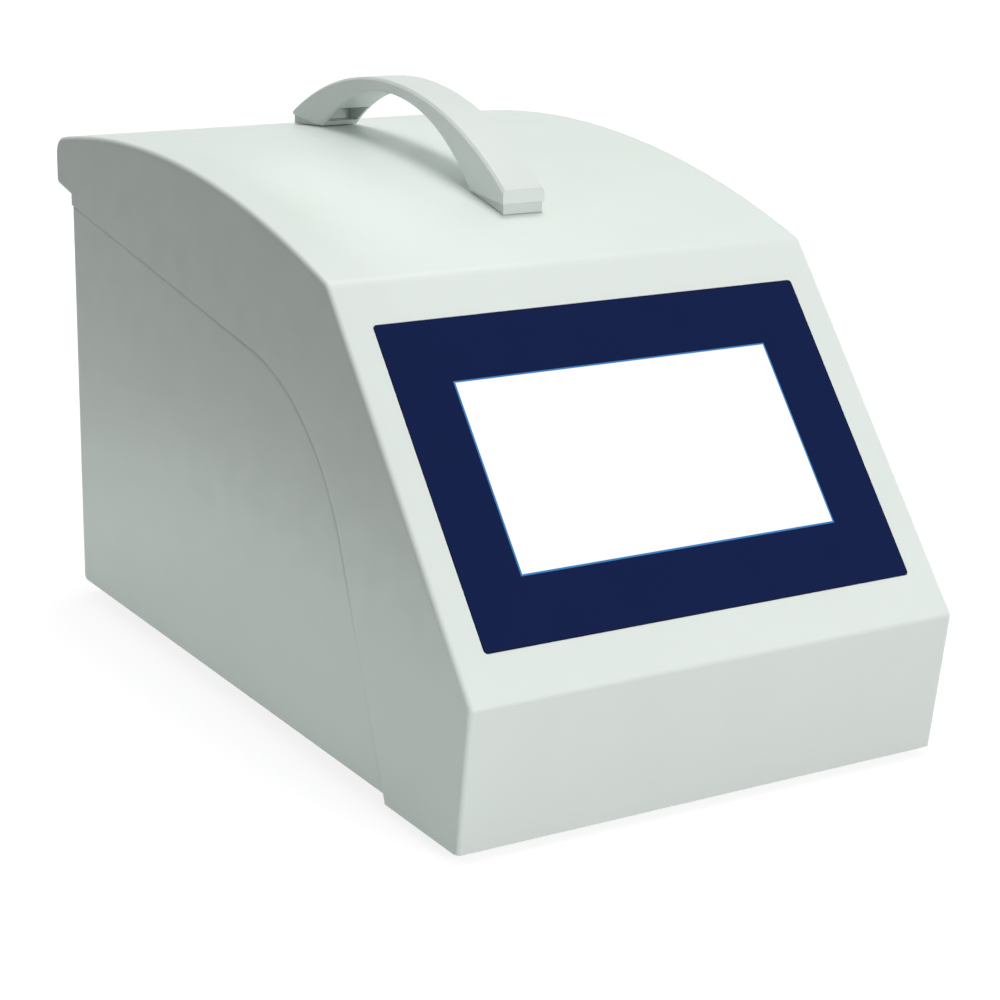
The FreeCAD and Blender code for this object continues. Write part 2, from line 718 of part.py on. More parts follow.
def intake_slots():
    slots = []
    low = BASE_BOTTOM - CUT_MARGIN
    high = BASE_FLOOR + CUT_MARGIN
    middle = (INTAKE_SLOTS - 1) / 2
    for index in range(INTAKE_SLOTS):
        y = front_y(INTAKE_SETBACK) + (index - middle) * INTAKE_PITCH
        slots.append(block(INTAKE_SLOT_LENGTH, INTAKE_SLOT_WIDTH, low, high, 0.0, y))
    return slots


def tray_post_spots():
    x = TRAY_HALF_WIDTH - TRAY_POST_INSET
    front = front_y(TRAY_SETBACK + TRAY_POST_INSET)
    rear = TRAY_REAR_Y - TRAY_POST_INSET
    return [(side * x, y) for side in (-1, 1) for y in (front, rear)]


def base_enclosure():
    """Moulded base: floor, side walls with lap tongues, rear frame and posts for the tray."""
    front = front_y(FRONT_UNDERCUT + COVER_WALL + LAP_CLEARANCE)
    outer = HALF_WIDTH - BASE_SIDE_STEP
    wide_front = front_y(SEAM_FOOT_SETBACK + BASE_WALL + SEAM_GAP)
    floor = box(-LAP_OUTER, LAP_OUTER, front, BASE_REAR_Y, BASE_BOTTOM, BASE_FLOOR)
    floor = floor.fuse(box(-outer, outer, wide_front, BASE_REAR_Y, BASE_BOTTOM, BASE_FLOOR))
    posts = [block(TRAY_POST_SIDE, TRAY_POST_SIDE, BASE_FLOOR, BASE_FLOOR + TRAY_POST_HEIGHT, x, y)
             for x, y in tray_post_spots()]
    body = floor.fuse([base_side_wall(-1), base_side_wall(1), rear_frame()] + posts)
    body = body.cut(intake_slots()).removeSplitter()
    lower = [e for e in body.Edges if runs_along_side(e, outer)]
    return body.makeFillet(BASE_BOTTOM_ROUND, lower)


def runs_along_side(edge, outer):
    """True for the two long lower edges of the base."""
    ends = [vertex.Point for vertex in edge.Vertexes]
    return all(abs(abs(p.x) - outer) < TOUCH and abs(p.z - BASE_BOTTOM) < TOUCH for p in ends)


def rubber_feet():
    """Four feet bonded to the base's floor."""
    return group(rod(FOOT_RADIUS, V(x, y, 0), AXIS_Z, FOOT_HEIGHT) for x, y in foot_spots())


# Carrying handle
def foot_plane(y):
    """Height at Y of the tilted plane of both feet, which clears the top by the lift at their inner ends."""
    front = front_y(HANDLE_FRONT_SETBACK + HANDLE_FOOT_LENGTH)
    rear = front_y(HANDLE_FRONT_SETBACK + HANDLE_LENGTH - HANDLE_FOOT_LENGTH)
    low = top_height(front, -HANDLE_FOOT_LIFT)
    high = top_height(rear, -HANDLE_FOOT_LIFT)
    return low + (y - front) * (high - low) / (rear - front)


def handle_bow():
    """Crescent bow: two arcs that meet the tilted feet, bevelled along its length, hollowed at each foot."""
    front = front_y(HANDLE_FRONT_SETBACK)
    rear = front + HANDLE_LENGTH
    crown = front_y(HANDLE_CROWN_SETBACK)
    front_top = V(0, front, foot_plane(front) + HANDLE_FRONT_END_HEIGHT)
    rear_top = V(0, rear, foot_plane(rear) + HANDLE_REAR_END_HEIGHT)
    front_inner = V(0, front + HANDLE_FOOT_LENGTH, foot_plane(front + HANDLE_FOOT_LENGTH))
    rear_inner = V(0, rear - HANDLE_FOOT_LENGTH, foot_plane(rear - HANDLE_FOOT_LENGTH))
    front_low = V(0, front, foot_plane(front))
    rear_low = V(0, rear, foot_plane(rear))
    inner_crown = V(0, crown - HANDLE_INNER_CROWN_OFFSET, HANDLE_TOP - HANDLE_CROWN_THICKNESS)
    edges = [line(front_low, front_top), arc(front_top, V(0, crown, HANDLE_TOP), rear_top)]
    edges += [line(rear_top, rear_low), line(rear_low, rear_inner)]
    edges += [arc(rear_inner, inner_crown, front_inner), line(front_inner, front_low)]
    half = HANDLE_WIDTH / 2
    bow = across(edges, -half, half)
    long_edges = [e for e in bow.Edges if e.Curve.TypeId == "Part::GeomCircle"]
    return bow.makeChamfer(HANDLE_EDGE_BEVEL, long_edges).cut(handle_pockets())


def handle_pockets():
    """Moulding pockets let into the inner end of each foot, open towards the grip."""
    front, rear = handle_foot_spots()
    half = HANDLE_WIDTH / 2 - HANDLE_POCKET_WALL
    reach = HANDLE_FOOT_LENGTH / 2
    pockets = []
    for y, way in ((front, 1), (rear, -1)):
        inner = y + way * reach
        low = foot_plane(inner) + HANDLE_POCKET_WALL
        y0, y1 = sorted((inner - way * HANDLE_POCKET_DEPTH, inner + way * reach))
        pockets.append(box(-half, half, y0, y1, low, low + HANDLE_POCKET_HEIGHT))
    return pockets


def handle_pads():
    """Thin pads between the handle's feet and the crowned top, ground to its curve underneath."""
    front = front_y(HANDLE_FRONT_SETBACK)
    rear = front + HANDLE_LENGTH
    half = HANDLE_WIDTH / 2 - HANDLE_PAD_INSET
    reach = HANDLE_FOOT_LENGTH - HANDLE_PAD_SHORTFALL
    spans = ((front + HANDLE_PAD_INSET, front + reach), (rear - reach, rear - HANDLE_PAD_INSET))
    pads = []
    for y0, y1 in spans:
        middle = (y0 + y1) / 2
        low_front = V(0, y0, top_height(y0, -HANDLE_PAD_GAP))
        low_rear = V(0, y1, top_height(y1, -HANDLE_PAD_GAP))
        top_front = V(0, y0, foot_plane(y0))
        top_rear = V(0, y1, foot_plane(y1))
        low_middle = V(0, middle, top_height(middle, -HANDLE_PAD_GAP))
        edges = [arc(low_front, low_middle, low_rear), line(low_rear, top_rear)]
        edges += [line(top_rear, top_front), line(top_front, low_front)]
        pads.append(across(edges, -half, half))
    return group(pads)


# Display
def display_depth():
    """Depth of the ledge that the display's flange bears on."""
    return BEZEL_THICKNESS - BEZEL_PROUD + HOUSING_FLANGE


def display_bezel():
    """Printed front frame round the window."""
    s = bezel_centre()
    back = BEZEL_PROUD - BEZEL_THICKNESS
    frame = rounded_block(BEZEL_WIDTH, BEZEL_HEIGHT, back, BEZEL_PROUD, BEZEL_CORNER, 0.0, s)
    return on_slant(frame.cut(block(WINDOW_WIDTH, WINDOW_HEIGHT, -BEZEL_THICKNESS, BEZEL_THICKNESS, 0.0, s)))


def touch_glass():
    """Touch glass behind the bezel, with a raised middle that fills the window."""
    s = bezel_centre()
    back = BEZEL_PROUD - BEZEL_THICKNESS
    face = BEZEL_PROUD - GLASS_SINK
    plate = block(GLASS_WIDTH, GLASS_HEIGHT, back - GLASS_THICKNESS, back, 0.0, s)
    middle = block(WINDOW_WIDTH - 2 * GLASS_GAP, WINDOW_HEIGHT - 2 * GLASS_GAP, back, face, 0.0, s)
    return on_slant(plate.fuse(middle).removeSplitter())


def lcd_module():
    s = bezel_centre()
    front = BEZEL_PROUD - BEZEL_THICKNESS - GLASS_THICKNESS
    return on_slant(block(GLASS_WIDTH, GLASS_HEIGHT, front - LCD_THICKNESS, front, 0.0, s))


def display_housing():
    """Rear shell of the display: flange on the ledge, tub through the opening, grooves in its back."""
    s = bezel_centre()
    front = BEZEL_PROUD - BEZEL_THICKNESS
    ledge = -display_depth()
    back = ledge - HOUSING_DEPTH
    inset = 2 * HOUSING_FLANGE_INSET
    flange = block(BEZEL_WIDTH - inset, BEZEL_HEIGHT - inset, ledge, front, 0.0, s)
    tub = block(HOUSING_WIDTH, HOUSING_HEIGHT, back, ledge, 0.0, s)
    module_back = front - GLASS_THICKNESS - LCD_THICKNESS
    gap = 2 * GLASS_GAP
    pocket = block(GLASS_WIDTH + gap, GLASS_HEIGHT + gap, module_back, front + CUT_MARGIN, 0.0, s)
    inside = block(WINDOW_WIDTH, WINDOW_HEIGHT, back + HOUSING_WALL, module_back + CUT_MARGIN, 0.0, s)
    grooves = []
    pitch = WINDOW_HEIGHT / HOUSING_FINS
    for index in range(HOUSING_FINS):
        y = s + (index - (HOUSING_FINS - 1) / 2) * pitch
        grooves.append(box(BOARD_X + CABLE_WIDTH, WINDOW_WIDTH / 2, y - pitch / 4, y + pitch / 4,
                           back - CUT_MARGIN, back + HOUSING_FIN_DEPTH))
    shell = flange.fuse(tub).cut([pocket, inside] + grooves)
    return on_slant(shell.removeSplitter())


def clamp_spots():
    """Two clamps above and two below the display's tub."""
    s = bezel_centre()
    reach = HOUSING_HEIGHT / 2
    return [(side * CLAMP_SPREAD, s + way * reach, way) for side in (-1, 1) for way in (-1, 1)]


def display_clamps():
    """L-shaped clamps on the tub, each pulling the display against the back of the ledge."""
    rear = -display_depth() - PAD_THICKNESS
    clamps = []
    for x, s, way in clamp_spots():
        y0, y1 = sorted((s, s + way * (CLAMP_REACH + SLIDE_CLEARANCE)))
        foot = box(x - CLAMP_WIDTH / 2, x + CLAMP_WIDTH / 2, y0, y1, rear - CLAMP_THICKNESS, rear)
        y2, y3 = sorted((s, s + way * CLAMP_THICKNESS))
        heel = box(x - CLAMP_WIDTH / 2, x + CLAMP_WIDTH / 2, y2, y3, rear - 3 * CLAMP_THICKNESS, rear)
        clamps.append(on_slant(foot.fuse(heel).removeSplitter()))
    return group(clamps)


# Inside
def mounting_tray():
    """Bent sheet tray: a plate with two upturned sides, on the base's posts."""
    half = TRAY_HALF_WIDTH
    front = front_y(TRAY_SETBACK)
    rear = TRAY_REAR_Y
    low = TRAY_TOP - TRAY_THICKNESS
    plate = box(-half, half, front, rear, low, TRAY_TOP)
    left = box(-half, TRAY_THICKNESS - half, front, rear, low, TRAY_TOP + TRAY_LIP)
    right = box(half - TRAY_THICKNESS, half, front, rear, low, TRAY_TOP + TRAY_LIP)
    return plate.fuse([left, right]).removeSplitter()


def power_supply():
    """Enclosed supply: a vented steel case."""
    middle = front_y(SUPPLY_SETBACK) + SUPPLY_LENGTH / 2
    top = TRAY_TOP + SUPPLY_HEIGHT
    case = block(SUPPLY_WIDTH, SUPPLY_LENGTH, TRAY_TOP, top, SUPPLY_X, middle)
    walls = 2 * SUPPLY_WALL
    inside = block(SUPPLY_WIDTH - walls, SUPPLY_LENGTH - walls, TRAY_TOP + SUPPLY_WALL, top - SUPPLY_WALL,
                   SUPPLY_X, middle)
    vents = []
    for index in range(SUPPLY_VENTS):
        y = middle + (index - (SUPPLY_VENTS - 1) / 2) * SUPPLY_VENT_PITCH
        vents.append(block(SUPPLY_VENT_LENGTH, SUPPLY_VENT_WIDTH, top - SUPPLY_WALL, top, SUPPLY_X, y))
    return case.cut([inside] + vents)


def supply_rear_y():
    return front_y(SUPPLY_SETBACK) + SUPPLY_LENGTH


def supply_terminals():
    """Terminal strip behind the supply, level with the inlet's tabs."""
    y = supply_rear_y()
    half = TERMINAL_WIDTH / 2
    low = INLET_Z - SOCKET_DROP - TERMINAL_HEIGHT / 2
    return box(INLET_X - half, INLET_X + half, y, y + TERMINAL_DEPTH, low, low + TERMINAL_HEIGHT)


def standoff_spots():
    half = BOARD_WIDTH / 2 - STANDOFF_INSET
    front = front_y(BOARD_SETBACK + STANDOFF_INSET)
    rear = front_y(BOARD_SETBACK + BOARD_LENGTH - STANDOFF_INSET)
    return [(BOARD_X + side * half, y) for side in (-1, 1) for y in (front, rear)]


def main_board():
    middle = front_y(BOARD_SETBACK) + BOARD_LENGTH / 2
    return block(BOARD_WIDTH, BOARD_LENGTH, BOARD_TOP - BOARD_THICKNESS, BOARD_TOP, BOARD_X, middle)


def board_standoffs():
    return group(block(STANDOFF_SIDE, STANDOFF_SIDE, TRAY_TOP, TRAY_TOP + BOARD_LIFT, x, y)
                 for x, y in standoff_spots())


def board_components():
    """Processor, two relays, terminal strip and the display's header, each standing on the board."""
    front = front_y(BOARD_SETBACK)
    middle = front + BOARD_LENGTH / 2
    rear = front + BOARD_LENGTH - RELAY_LENGTH
    solids = [block(CHIP_SIDE, CHIP_SIDE, BOARD_TOP, BOARD_TOP + CHIP_HEIGHT, BOARD_X, middle)]
    for x in (BOARD_X - 2 * RELAY_WIDTH, BOARD_X - RELAY_WIDTH / 2):
        solids.append(block(RELAY_WIDTH, RELAY_LENGTH, BOARD_TOP, BOARD_TOP + RELAY_HEIGHT, x, rear))
    strip_x = BOARD_X + 2 * RELAY_WIDTH
    solids.append(block(STRIP_WIDTH, STRIP_LENGTH, BOARD_TOP, BOARD_TOP + STRIP_HEIGHT, strip_x, middle))
    header_y = front_y(HEADER_SETBACK)
    header_top = BOARD_TOP + HEADER_HEIGHT
    solids.append(block(HEADER_WIDTH, HEADER_LENGTH, BOARD_TOP, header_top, BOARD_X, header_y))
    return group(solids)


def port_xs():
    """X of gas in, gas out and vent, at the rear panel and on the block alike."""
    return [BLOCK_X + index * PORT_PITCH for index in (-1, 0, 1)]


def pneumatic_block():
    """Drilled aluminium block that joins valves, sensors and ports; its bores are inside it."""
    front = front_y(BLOCK_SETBACK)
    half = BLOCK_WIDTH / 2
    return box(BLOCK_X - half, BLOCK_X + half, front, front + BLOCK_LENGTH, TRAY_TOP, BLOCK_TOP)


def valve_bodies():
    """Three solenoid valves on the block, each a square coil held by a nut."""
    bodies = []
    y = front_y(VALVE_ROW_SETBACK)
    top = BLOCK_TOP + VALVE_HEIGHT
    for x in port_xs():
        coil = block(VALVE_SIDE, VALVE_SIDE, BLOCK_TOP, top, x, y)
        bodies.append(coil.fuse(hex_prism(VALVE_NUT_RADIUS, V(x, y, top), AXIS_Z, VALVE_NUT_HEIGHT)))
    return group(bodies)


def pressure_sensors():
    """Two sensors on the block's front face, each a hex nut and a square housing."""
    y = front_y(BLOCK_SETBACK)
    z = TRAY_TOP + BLOCK_HEIGHT / 2
    half = SENSOR_SIDE / 2
    sensors = []
    for side in (-1, 1):
        x = BLOCK_X + side * SENSOR_SPREAD / 2
        nut = hex_prism(SENSOR_NUT_RADIUS, V(x, y, z), -AXIS_Y, STUB_NUT_HEIGHT)
        rear = y - STUB_NUT_HEIGHT
        housing = box(x - half, x + half, rear - SENSOR_LENGTH, rear, z - half, z + half)
        sensors.append(nut.fuse(housing))
    return group(sensors)


def hex_prism(radius, start, axis, length):
    """Six-sided prism; radius reaches its corners."""
    side = axis.cross(AXIS_X) if abs(axis.x) < 0.5 else axis.cross(AXIS_Z)
    side.normalize()
    other = axis.cross(side)
    turns = [k * math.pi / 3 for k in range(6)]
    corners = [start + side * (radius * math.cos(a)) + other * (radius * math.sin(a)) for a in turns]
    edges = [line(a, b) for a, b in zip(corners, corners[1:] + corners[:1])]
    return Part.Face(Part.Wire(edges)).extrude(axis * length)


def reference_tank():
    """Welded steel canister, lying front to rear."""
    start = V(BLOCK_X, front_y(TANK_SETBACK), TANK_Z)
    space = rod(TANK_RADIUS - TANK_WALL, start + AXIS_Y * TANK_WALL, AXIS_Y, TANK_LENGTH - 2 * TANK_WALL)
    return rod(TANK_RADIUS, start, AXIS_Y, TANK_LENGTH).cut(space)


def tank_cradles():
    """Two saddles shaped to the canister."""
    cradles = []
    front = front_y(TANK_SETBACK) + CRADLE_INSET
    rear = front_y(TANK_SETBACK) + TANK_LENGTH - CRADLE_INSET
    for y in (front, rear):
        saddle = block(CRADLE_WIDTH, CRADLE_THICKNESS, TRAY_TOP, TRAY_TOP + CRADLE_HEIGHT, BLOCK_X, y)
        start = V(BLOCK_X, y - CRADLE_THICKNESS, TANK_Z)
        cradles.append(saddle.cut(rod(TANK_RADIUS + SEAT_GAP, start, AXIS_Y, 2 * CRADLE_THICKNESS)))
    return group(cradles)


def port_elbows():
    """Upright elbows on the block, each turned towards its rear fitting."""
    elbows = []
    y = front_y(PORT_ROW_SETBACK)
    half = ELBOW_SIDE / 2
    for x in port_xs():
        head = block(ELBOW_SIDE, ELBOW_SIDE, FITTING_HEIGHT - half, FITTING_HEIGHT + half, x, y)
        neck = hex_prism(STUB_RADIUS, V(x, y, BLOCK_TOP), AXIS_Z, FITTING_HEIGHT - BLOCK_TOP)
        elbows.append(head.fuse(neck))
    return group(elbows)


def tank_stub():
    """Hex stub on the block's front face, in line with the canister's rear end."""
    return hex_prism(STUB_RADIUS, V(BLOCK_X, front_y(BLOCK_SETBACK), TANK_Z), -AXIS_Y, STUB_LENGTH)


# Tubes and leads, each held at both ends
def port_tube(index):
    """Straight from a rear fitting's stem forwards to its elbow."""
    front = front_y(PORT_ROW_SETBACK) + ELBOW_SIDE / 2
    rear = PANEL_FACE_Y - FITTING_STEM_LENGTH
    return rod(TUBE_RADIUS, V(port_xs()[index], front, FITTING_HEIGHT), AXIS_Y, rear - front)


def tank_tube():
    """From the canister's rear end straight back to the block's front stub."""
    front = front_y(TANK_SETBACK + TANK_LENGTH)
    rear = front_y(BLOCK_SETBACK - STUB_LENGTH)
    return rod(TUBE_RADIUS, V(BLOCK_X, front, TANK_Z), AXIS_Y, rear - front)


def display_cable():
    """Flat cable from the display's back, round one bend and straight down to the header on the board."""
    slant = math.radians(SLANT_ANGLE)
    depth = display_depth() + HOUSING_DEPTH
    start = V(0, front_y(DISPLAY_PORT_RISE * math.cos(slant) + depth * math.sin(slant)),
              FOLD_HEIGHT + DISPLAY_PORT_RISE * math.sin(slant) - depth * math.cos(slant))
    inward = V(0, math.sin(slant), -math.cos(slant))
    corner_y = front_y(HEADER_SETBACK)
    corner = start + inward * ((corner_y - start.y) / inward.y)
    end = V(0, corner_y, BOARD_TOP + HEADER_HEIGHT)
    reach = CABLE_BEND * math.tan(slant / 2)
    # Both faces of the cable lie half its thickness from the middle line, on the bend's inner and outer side
    upper_side = V(0, -math.cos(slant), -math.sin(slant))
    lower_side = -AXIS_Y
    centre = corner - inward * reach + upper_side * CABLE_BEND
    between = upper_side + lower_side
    between.normalize()
    faces = []
    for shift in (CABLE_THICKNESS / 2, -CABLE_THICKNESS / 2):
        bend_start = corner - inward * reach + upper_side * shift
        bend_end = corner - AXIS_Z * reach + lower_side * shift
        middle = centre - between * (CABLE_BEND - shift)
        faces.append((start + upper_side * shift, bend_start, middle, bend_end, end + lower_side * shift))
    edges = []
    for first, bend_start, middle, bend_end, last in faces:
        edges += [line(first, bend_start), arc(bend_start, middle, bend_end), line(bend_end, last)]
    edges += [line(faces[0][0], faces[1][0]), line(faces[0][-1], faces[1][-1])]
    return across(Part.__sortEdges__(edges), BOARD_X - CABLE_WIDTH / 2, BOARD_X + CABLE_WIDTH / 2)


def pin_spots():
    """Centres of the mains pins: earth above, live and neutral below, seen from behind."""
    z = INLET_Z - SOCKET_DROP
    low = z - LIVE_DROP
    return [(INLET_X, z + EARTH_RAISE), (INLET_X - PIN_SPREAD, low), (INLET_X + PIN_SPREAD, low)]


def pin_floor_y():
    return PANEL_FACE_Y + INLET_FLANGE_THICKNESS - SOCKET_DEPTH


def inlet_back_y():
    return PANEL_FACE_Y - INLET_BODY_DEPTH


def mains_leads():
    """Three insulated wires, straight from the inlet's tabs to the supply's terminals."""
    front = supply_rear_y() + TERMINAL_DEPTH
    rear = inlet_back_y() - PIN_TAIL
    return group(rod(LEAD_RADIUS, V(x, front, z), AXIS_Y, rear - front) for x, z in pin_spots())


# Rear fittings
def to_rear(shape, x, z):
    """Moves a shape from a fitting's own frame, Z outwards and Y down, on to the rear panel's face."""
    placed = shape.copy()
    placed.rotate(V(0, 0, 0), AXIS_X, -90)
    placed.translate(V(x, PANEL_FACE_Y, z))
    return placed


def fitting_core(nose_radius, nose_length):
    """Hex flange on the panel, a nose outside and a stem through the panel for the tube."""
    origin = V(0, 0, 0)
    flange = hex_prism(FITTING_FLANGE_RADIUS, origin, AXIS_Z, FITTING_FLANGE_THICKNESS)
    nose = rod(nose_radius, origin, AXIS_Z, FITTING_FLANGE_THICKNESS + nose_length)
    stem = rod(FITTING_STEM_RADIUS, origin, -AXIS_Z, FITTING_STEM_LENGTH)
    return nose.fuse([flange, stem]).removeSplitter()


def gas_inlet_fitting():
    """Push-in bulkhead fitting with a socket for an 8 mm tube."""
    end = FITTING_FLANGE_THICKNESS + FITTING_BODY_LENGTH
    core = fitting_core(FITTING_BODY_RADIUS, FITTING_BODY_LENGTH)
    counterbore = COLLET_LENGTH + COLLET_TRAVEL + SLIDE_CLEARANCE
    core = core.cut(rod(COLLET_RADIUS + RUNNING_CLEARANCE, V(0, 0, end), -AXIS_Z, counterbore))
    core = core.cut(rod(TUBE_SOCKET_RADIUS, V(0, 0, end - counterbore), -AXIS_Z, TUBE_SOCKET_DEPTH))
    return to_rear(core, port_xs()[0], FITTING_HEIGHT)


def release_collet():
    """Plain tube collet, pressed into the fitting to free the gas tube."""
    end = FITTING_FLANGE_THICKNESS + FITTING_BODY_LENGTH
    start = V(0, 0, end - COLLET_LENGTH)
    length = COLLET_LENGTH + COLLET_TRAVEL + SLIDE_CLEARANCE
    collet = rod(COLLET_RADIUS, start, AXIS_Z, length).cut(rod(COLLET_BORE_RADIUS, start, AXIS_Z, length))
    return to_rear(collet, port_xs()[0], FITTING_HEIGHT)


def coupler_end():
    return FITTING_FLANGE_THICKNESS + COUPLER_NOSE_LENGTH


def gas_outlet_coupler():
    """Quick coupler body with a socket for the plug of the filter's hose."""
    core = fitting_core(COUPLER_NOSE_RADIUS, COUPLER_NOSE_LENGTH)
    core = core.cut(rod(COUPLER_SOCKET_RADIUS, V(0, 0, coupler_end()), -AXIS_Z, COUPLER_SOCKET_DEPTH))
    return to_rear(core, port_xs()[1], FITTING_HEIGHT)


def coupler_sleeve():
    """Release sleeve, pulled towards the panel to free the plug."""
    start = V(0, 0, coupler_end() - SLEEVE_LENGTH)
    bore = rod(COUPLER_NOSE_RADIUS + RUNNING_CLEARANCE, start, AXIS_Z, SLEEVE_LENGTH)
    return to_rear(rod(SLEEVE_RADIUS, start, AXIS_Z, SLEEVE_LENGTH).cut(bore), port_xs()[1], FITTING_HEIGHT)


def vent_muffler():
    """Sintered muffler on the vent."""
    return to_rear(fitting_core(VENT_RADIUS, VENT_LENGTH), port_xs()[2], FITTING_HEIGHT)


# Mains inlet module
def drawer_bay(grow):
    width = DRAWER_WIDTH + 2 * grow
    height = DRAWER_HEIGHT + 2 * grow
    deep = INLET_FLANGE_THICKNESS - DRAWER_DEPTH - grow
    return block(width, height, deep, INLET_FLANGE_THICKNESS, 0.0, DRAWER_DROP)


def mains_inlet():
    """Snap-in module: flange, body, connector socket, fuse bay and rocker bay."""
    top = INLET_FLANGE_THICKNESS
    flange = rounded_block(INLET_FLANGE_WIDTH, INLET_FLANGE_HEIGHT, 0.0, top, INLET_CORNER)
    body = block(INLET_BODY_WIDTH, INLET_BODY_HEIGHT, -INLET_BODY_DEPTH, 0.0)
    floor = top - SOCKET_DEPTH
    socket = rounded_block(SOCKET_WIDTH, SOCKET_HEIGHT, floor, top, SOCKET_CORNER, 0.0, SOCKET_DROP)
    rocker_bay = block(ROCKER_WIDTH + 2 * SLIDE_CLEARANCE, ROCKER_HEIGHT + 2 * SLIDE_CLEARANCE,
                       top - ROCKER_BAY_DEPTH, top, 0.0, -ROCKER_RAISE)
    reach = ROCKER_WIDTH / 2 + ROCKER_PIN_LENGTH + SLIDE_CLEARANCE
    pivot = V(-reach, -ROCKER_RAISE, top - ROCKER_PIVOT_DEPTH)
    pivot_hole = rod(ROCKER_PIN_RADIUS + RUNNING_CLEARANCE, pivot, AXIS_X, 2 * reach)
    module = flange.fuse(body).removeSplitter()
    module = module.cut([socket, drawer_bay(SLIDE_CLEARANCE), rocker_bay, pivot_hole])
    return to_rear(module, INLET_X, INLET_Z).cut(inlet_pins())


def inlet_pins():
    """Three flat pins, with tabs behind the module for the leads."""
    pins = []
    front = inlet_back_y() - PIN_TAIL
    length = pin_floor_y() + PIN_LENGTH - front
    for x, z in pin_spots():
        pins.append(block(PIN_WIDTH, length, z - PIN_HEIGHT / 2, z + PIN_HEIGHT / 2, x, front + length / 2))
    return group(pins)


def fuse_bays():
    """The two open-topped troughs in the drawer, as (low, high) along its depth."""
    length = 2 * FUSE_RADIUS + 4 * SLIDE_CLEARANCE
    first = INLET_FLANGE_THICKNESS - DRAWER_DEPTH + 2 * DRAWER_WALL
    second = first + length + DRAWER_WALL
    return [(first, first + length), (second, second + length)]


def fuse_drawer():
    """Drawer with a finger lip and two troughs: one fuse in use and one spare."""
    low = INLET_FLANGE_THICKNESS - DRAWER_DEPTH
    drawer = block(DRAWER_WIDTH, DRAWER_HEIGHT, low, INLET_FLANGE_THICKNESS, 0.0, DRAWER_DROP)
    lip = block(DRAWER_WIDTH + 2 * DRAWER_LIP, DRAWER_HEIGHT + DRAWER_LIP, INLET_FLANGE_THICKNESS,
                INLET_FLANGE_THICKNESS + DRAWER_LIP, 0.0, DRAWER_DROP)
    half = FUSE_LENGTH / 2 + SLIDE_CLEARANCE
    open_side = DRAWER_DROP - DRAWER_HEIGHT
    trough_floor = DRAWER_DROP + DRAWER_HEIGHT / 2 - DRAWER_WALL
    troughs = [box(-half, half, open_side, trough_floor, low, high) for low, high in fuse_bays()]
    return to_rear(drawer.fuse(lip).removeSplitter().cut(troughs), INLET_X, INLET_Z)


def fuses():
    """Two glass cartridge fuses, lying across the drawer's troughs."""
    y = DRAWER_DROP + DRAWER_HEIGHT / 2 - DRAWER_WALL - FUSE_RADIUS - SEAT_GAP
    solids = []
    for low, high in fuse_bays():
        fuse = rod(FUSE_RADIUS, V(-FUSE_LENGTH / 2, y, (low + high) / 2), AXIS_X, FUSE_LENGTH)
        solids.append(to_rear(fuse, INLET_X, INLET_Z))
    return group(solids)


def power_rocker():
    """Rocker with a hollowed face, resting on one side; two pins carry it."""
    half = ROCKER_HEIGHT / 2 - SEAT_GAP
    top = ROCKER_PIVOT_DEPTH + ROCKER_PROUD
    valley = ROCKER_PIVOT_DEPTH + ROCKER_PROUD / 2
    low = ROCKER_PIVOT_DEPTH - ROCKER_THICKNESS
    foot = half * ROCKER_FOOT_SHARE
    profile = [(-half, top), (0.0, valley), (half, top), (foot, low), (-foot, low)]
    body = polygon_across(profile, -ROCKER_WIDTH / 2, ROCKER_WIDTH / 2)
    reach = ROCKER_WIDTH / 2 + ROCKER_PIN_LENGTH
    body = body.fuse(rod(ROCKER_PIN_RADIUS, V(-reach, 0, 0), AXIS_X, 2 * reach)).removeSplitter()
    body.rotate(V(0, 0, 0), AXIS_X, -ROCKER_TILT)
    body.translate(V(0, -ROCKER_RAISE, INLET_FLANGE_THICKNESS - ROCKER_PIVOT_DEPTH))
    return to_rear(body, INLET_X, INLET_Z)


# Fan
def fan_back():
    """Depth of the fan frame's inner end under the panel's outer face."""
    return -PANEL_THICKNESS - FAN_DEPTH


def fan_frame():
    """Square frame with a round duct and a square bearing plate on struts."""
    back = fan_back()
    frame = block(FAN_SIZE, FAN_SIZE, back, -PANEL_THICKNESS)
    frame = frame.cut(rod(FAN_BORE_RADIUS, V(0, 0, back), AXIS_Z, FAN_DEPTH))
    pieces = [block(FAN_PLATE_SIDE, FAN_PLATE_SIDE, back, back + FAN_PLATE_THICKNESS)]
    inner = FAN_PLATE_SIDE / 4
    outer = FAN_BORE_RADIUS + CUT_MARGIN
    half = FAN_STRUT_WIDTH / 2
    for index in range(FAN_STRUTS):
        strut = box(inner, outer, -half, half, back, back + FAN_PLATE_THICKNESS)
        strut.rotate(V(0, 0, 0), AXIS_Z, index * 360 / FAN_STRUTS)
        pieces.append(strut)
    bearing = rod(FAN_SHAFT_RADIUS + RUNNING_CLEARANCE, V(0, 0, back), AXIS_Z, FAN_DEPTH)
    return to_rear(frame.fuse(pieces).cut(bearing).removeSplitter(), FAN_X, FAN_Z)


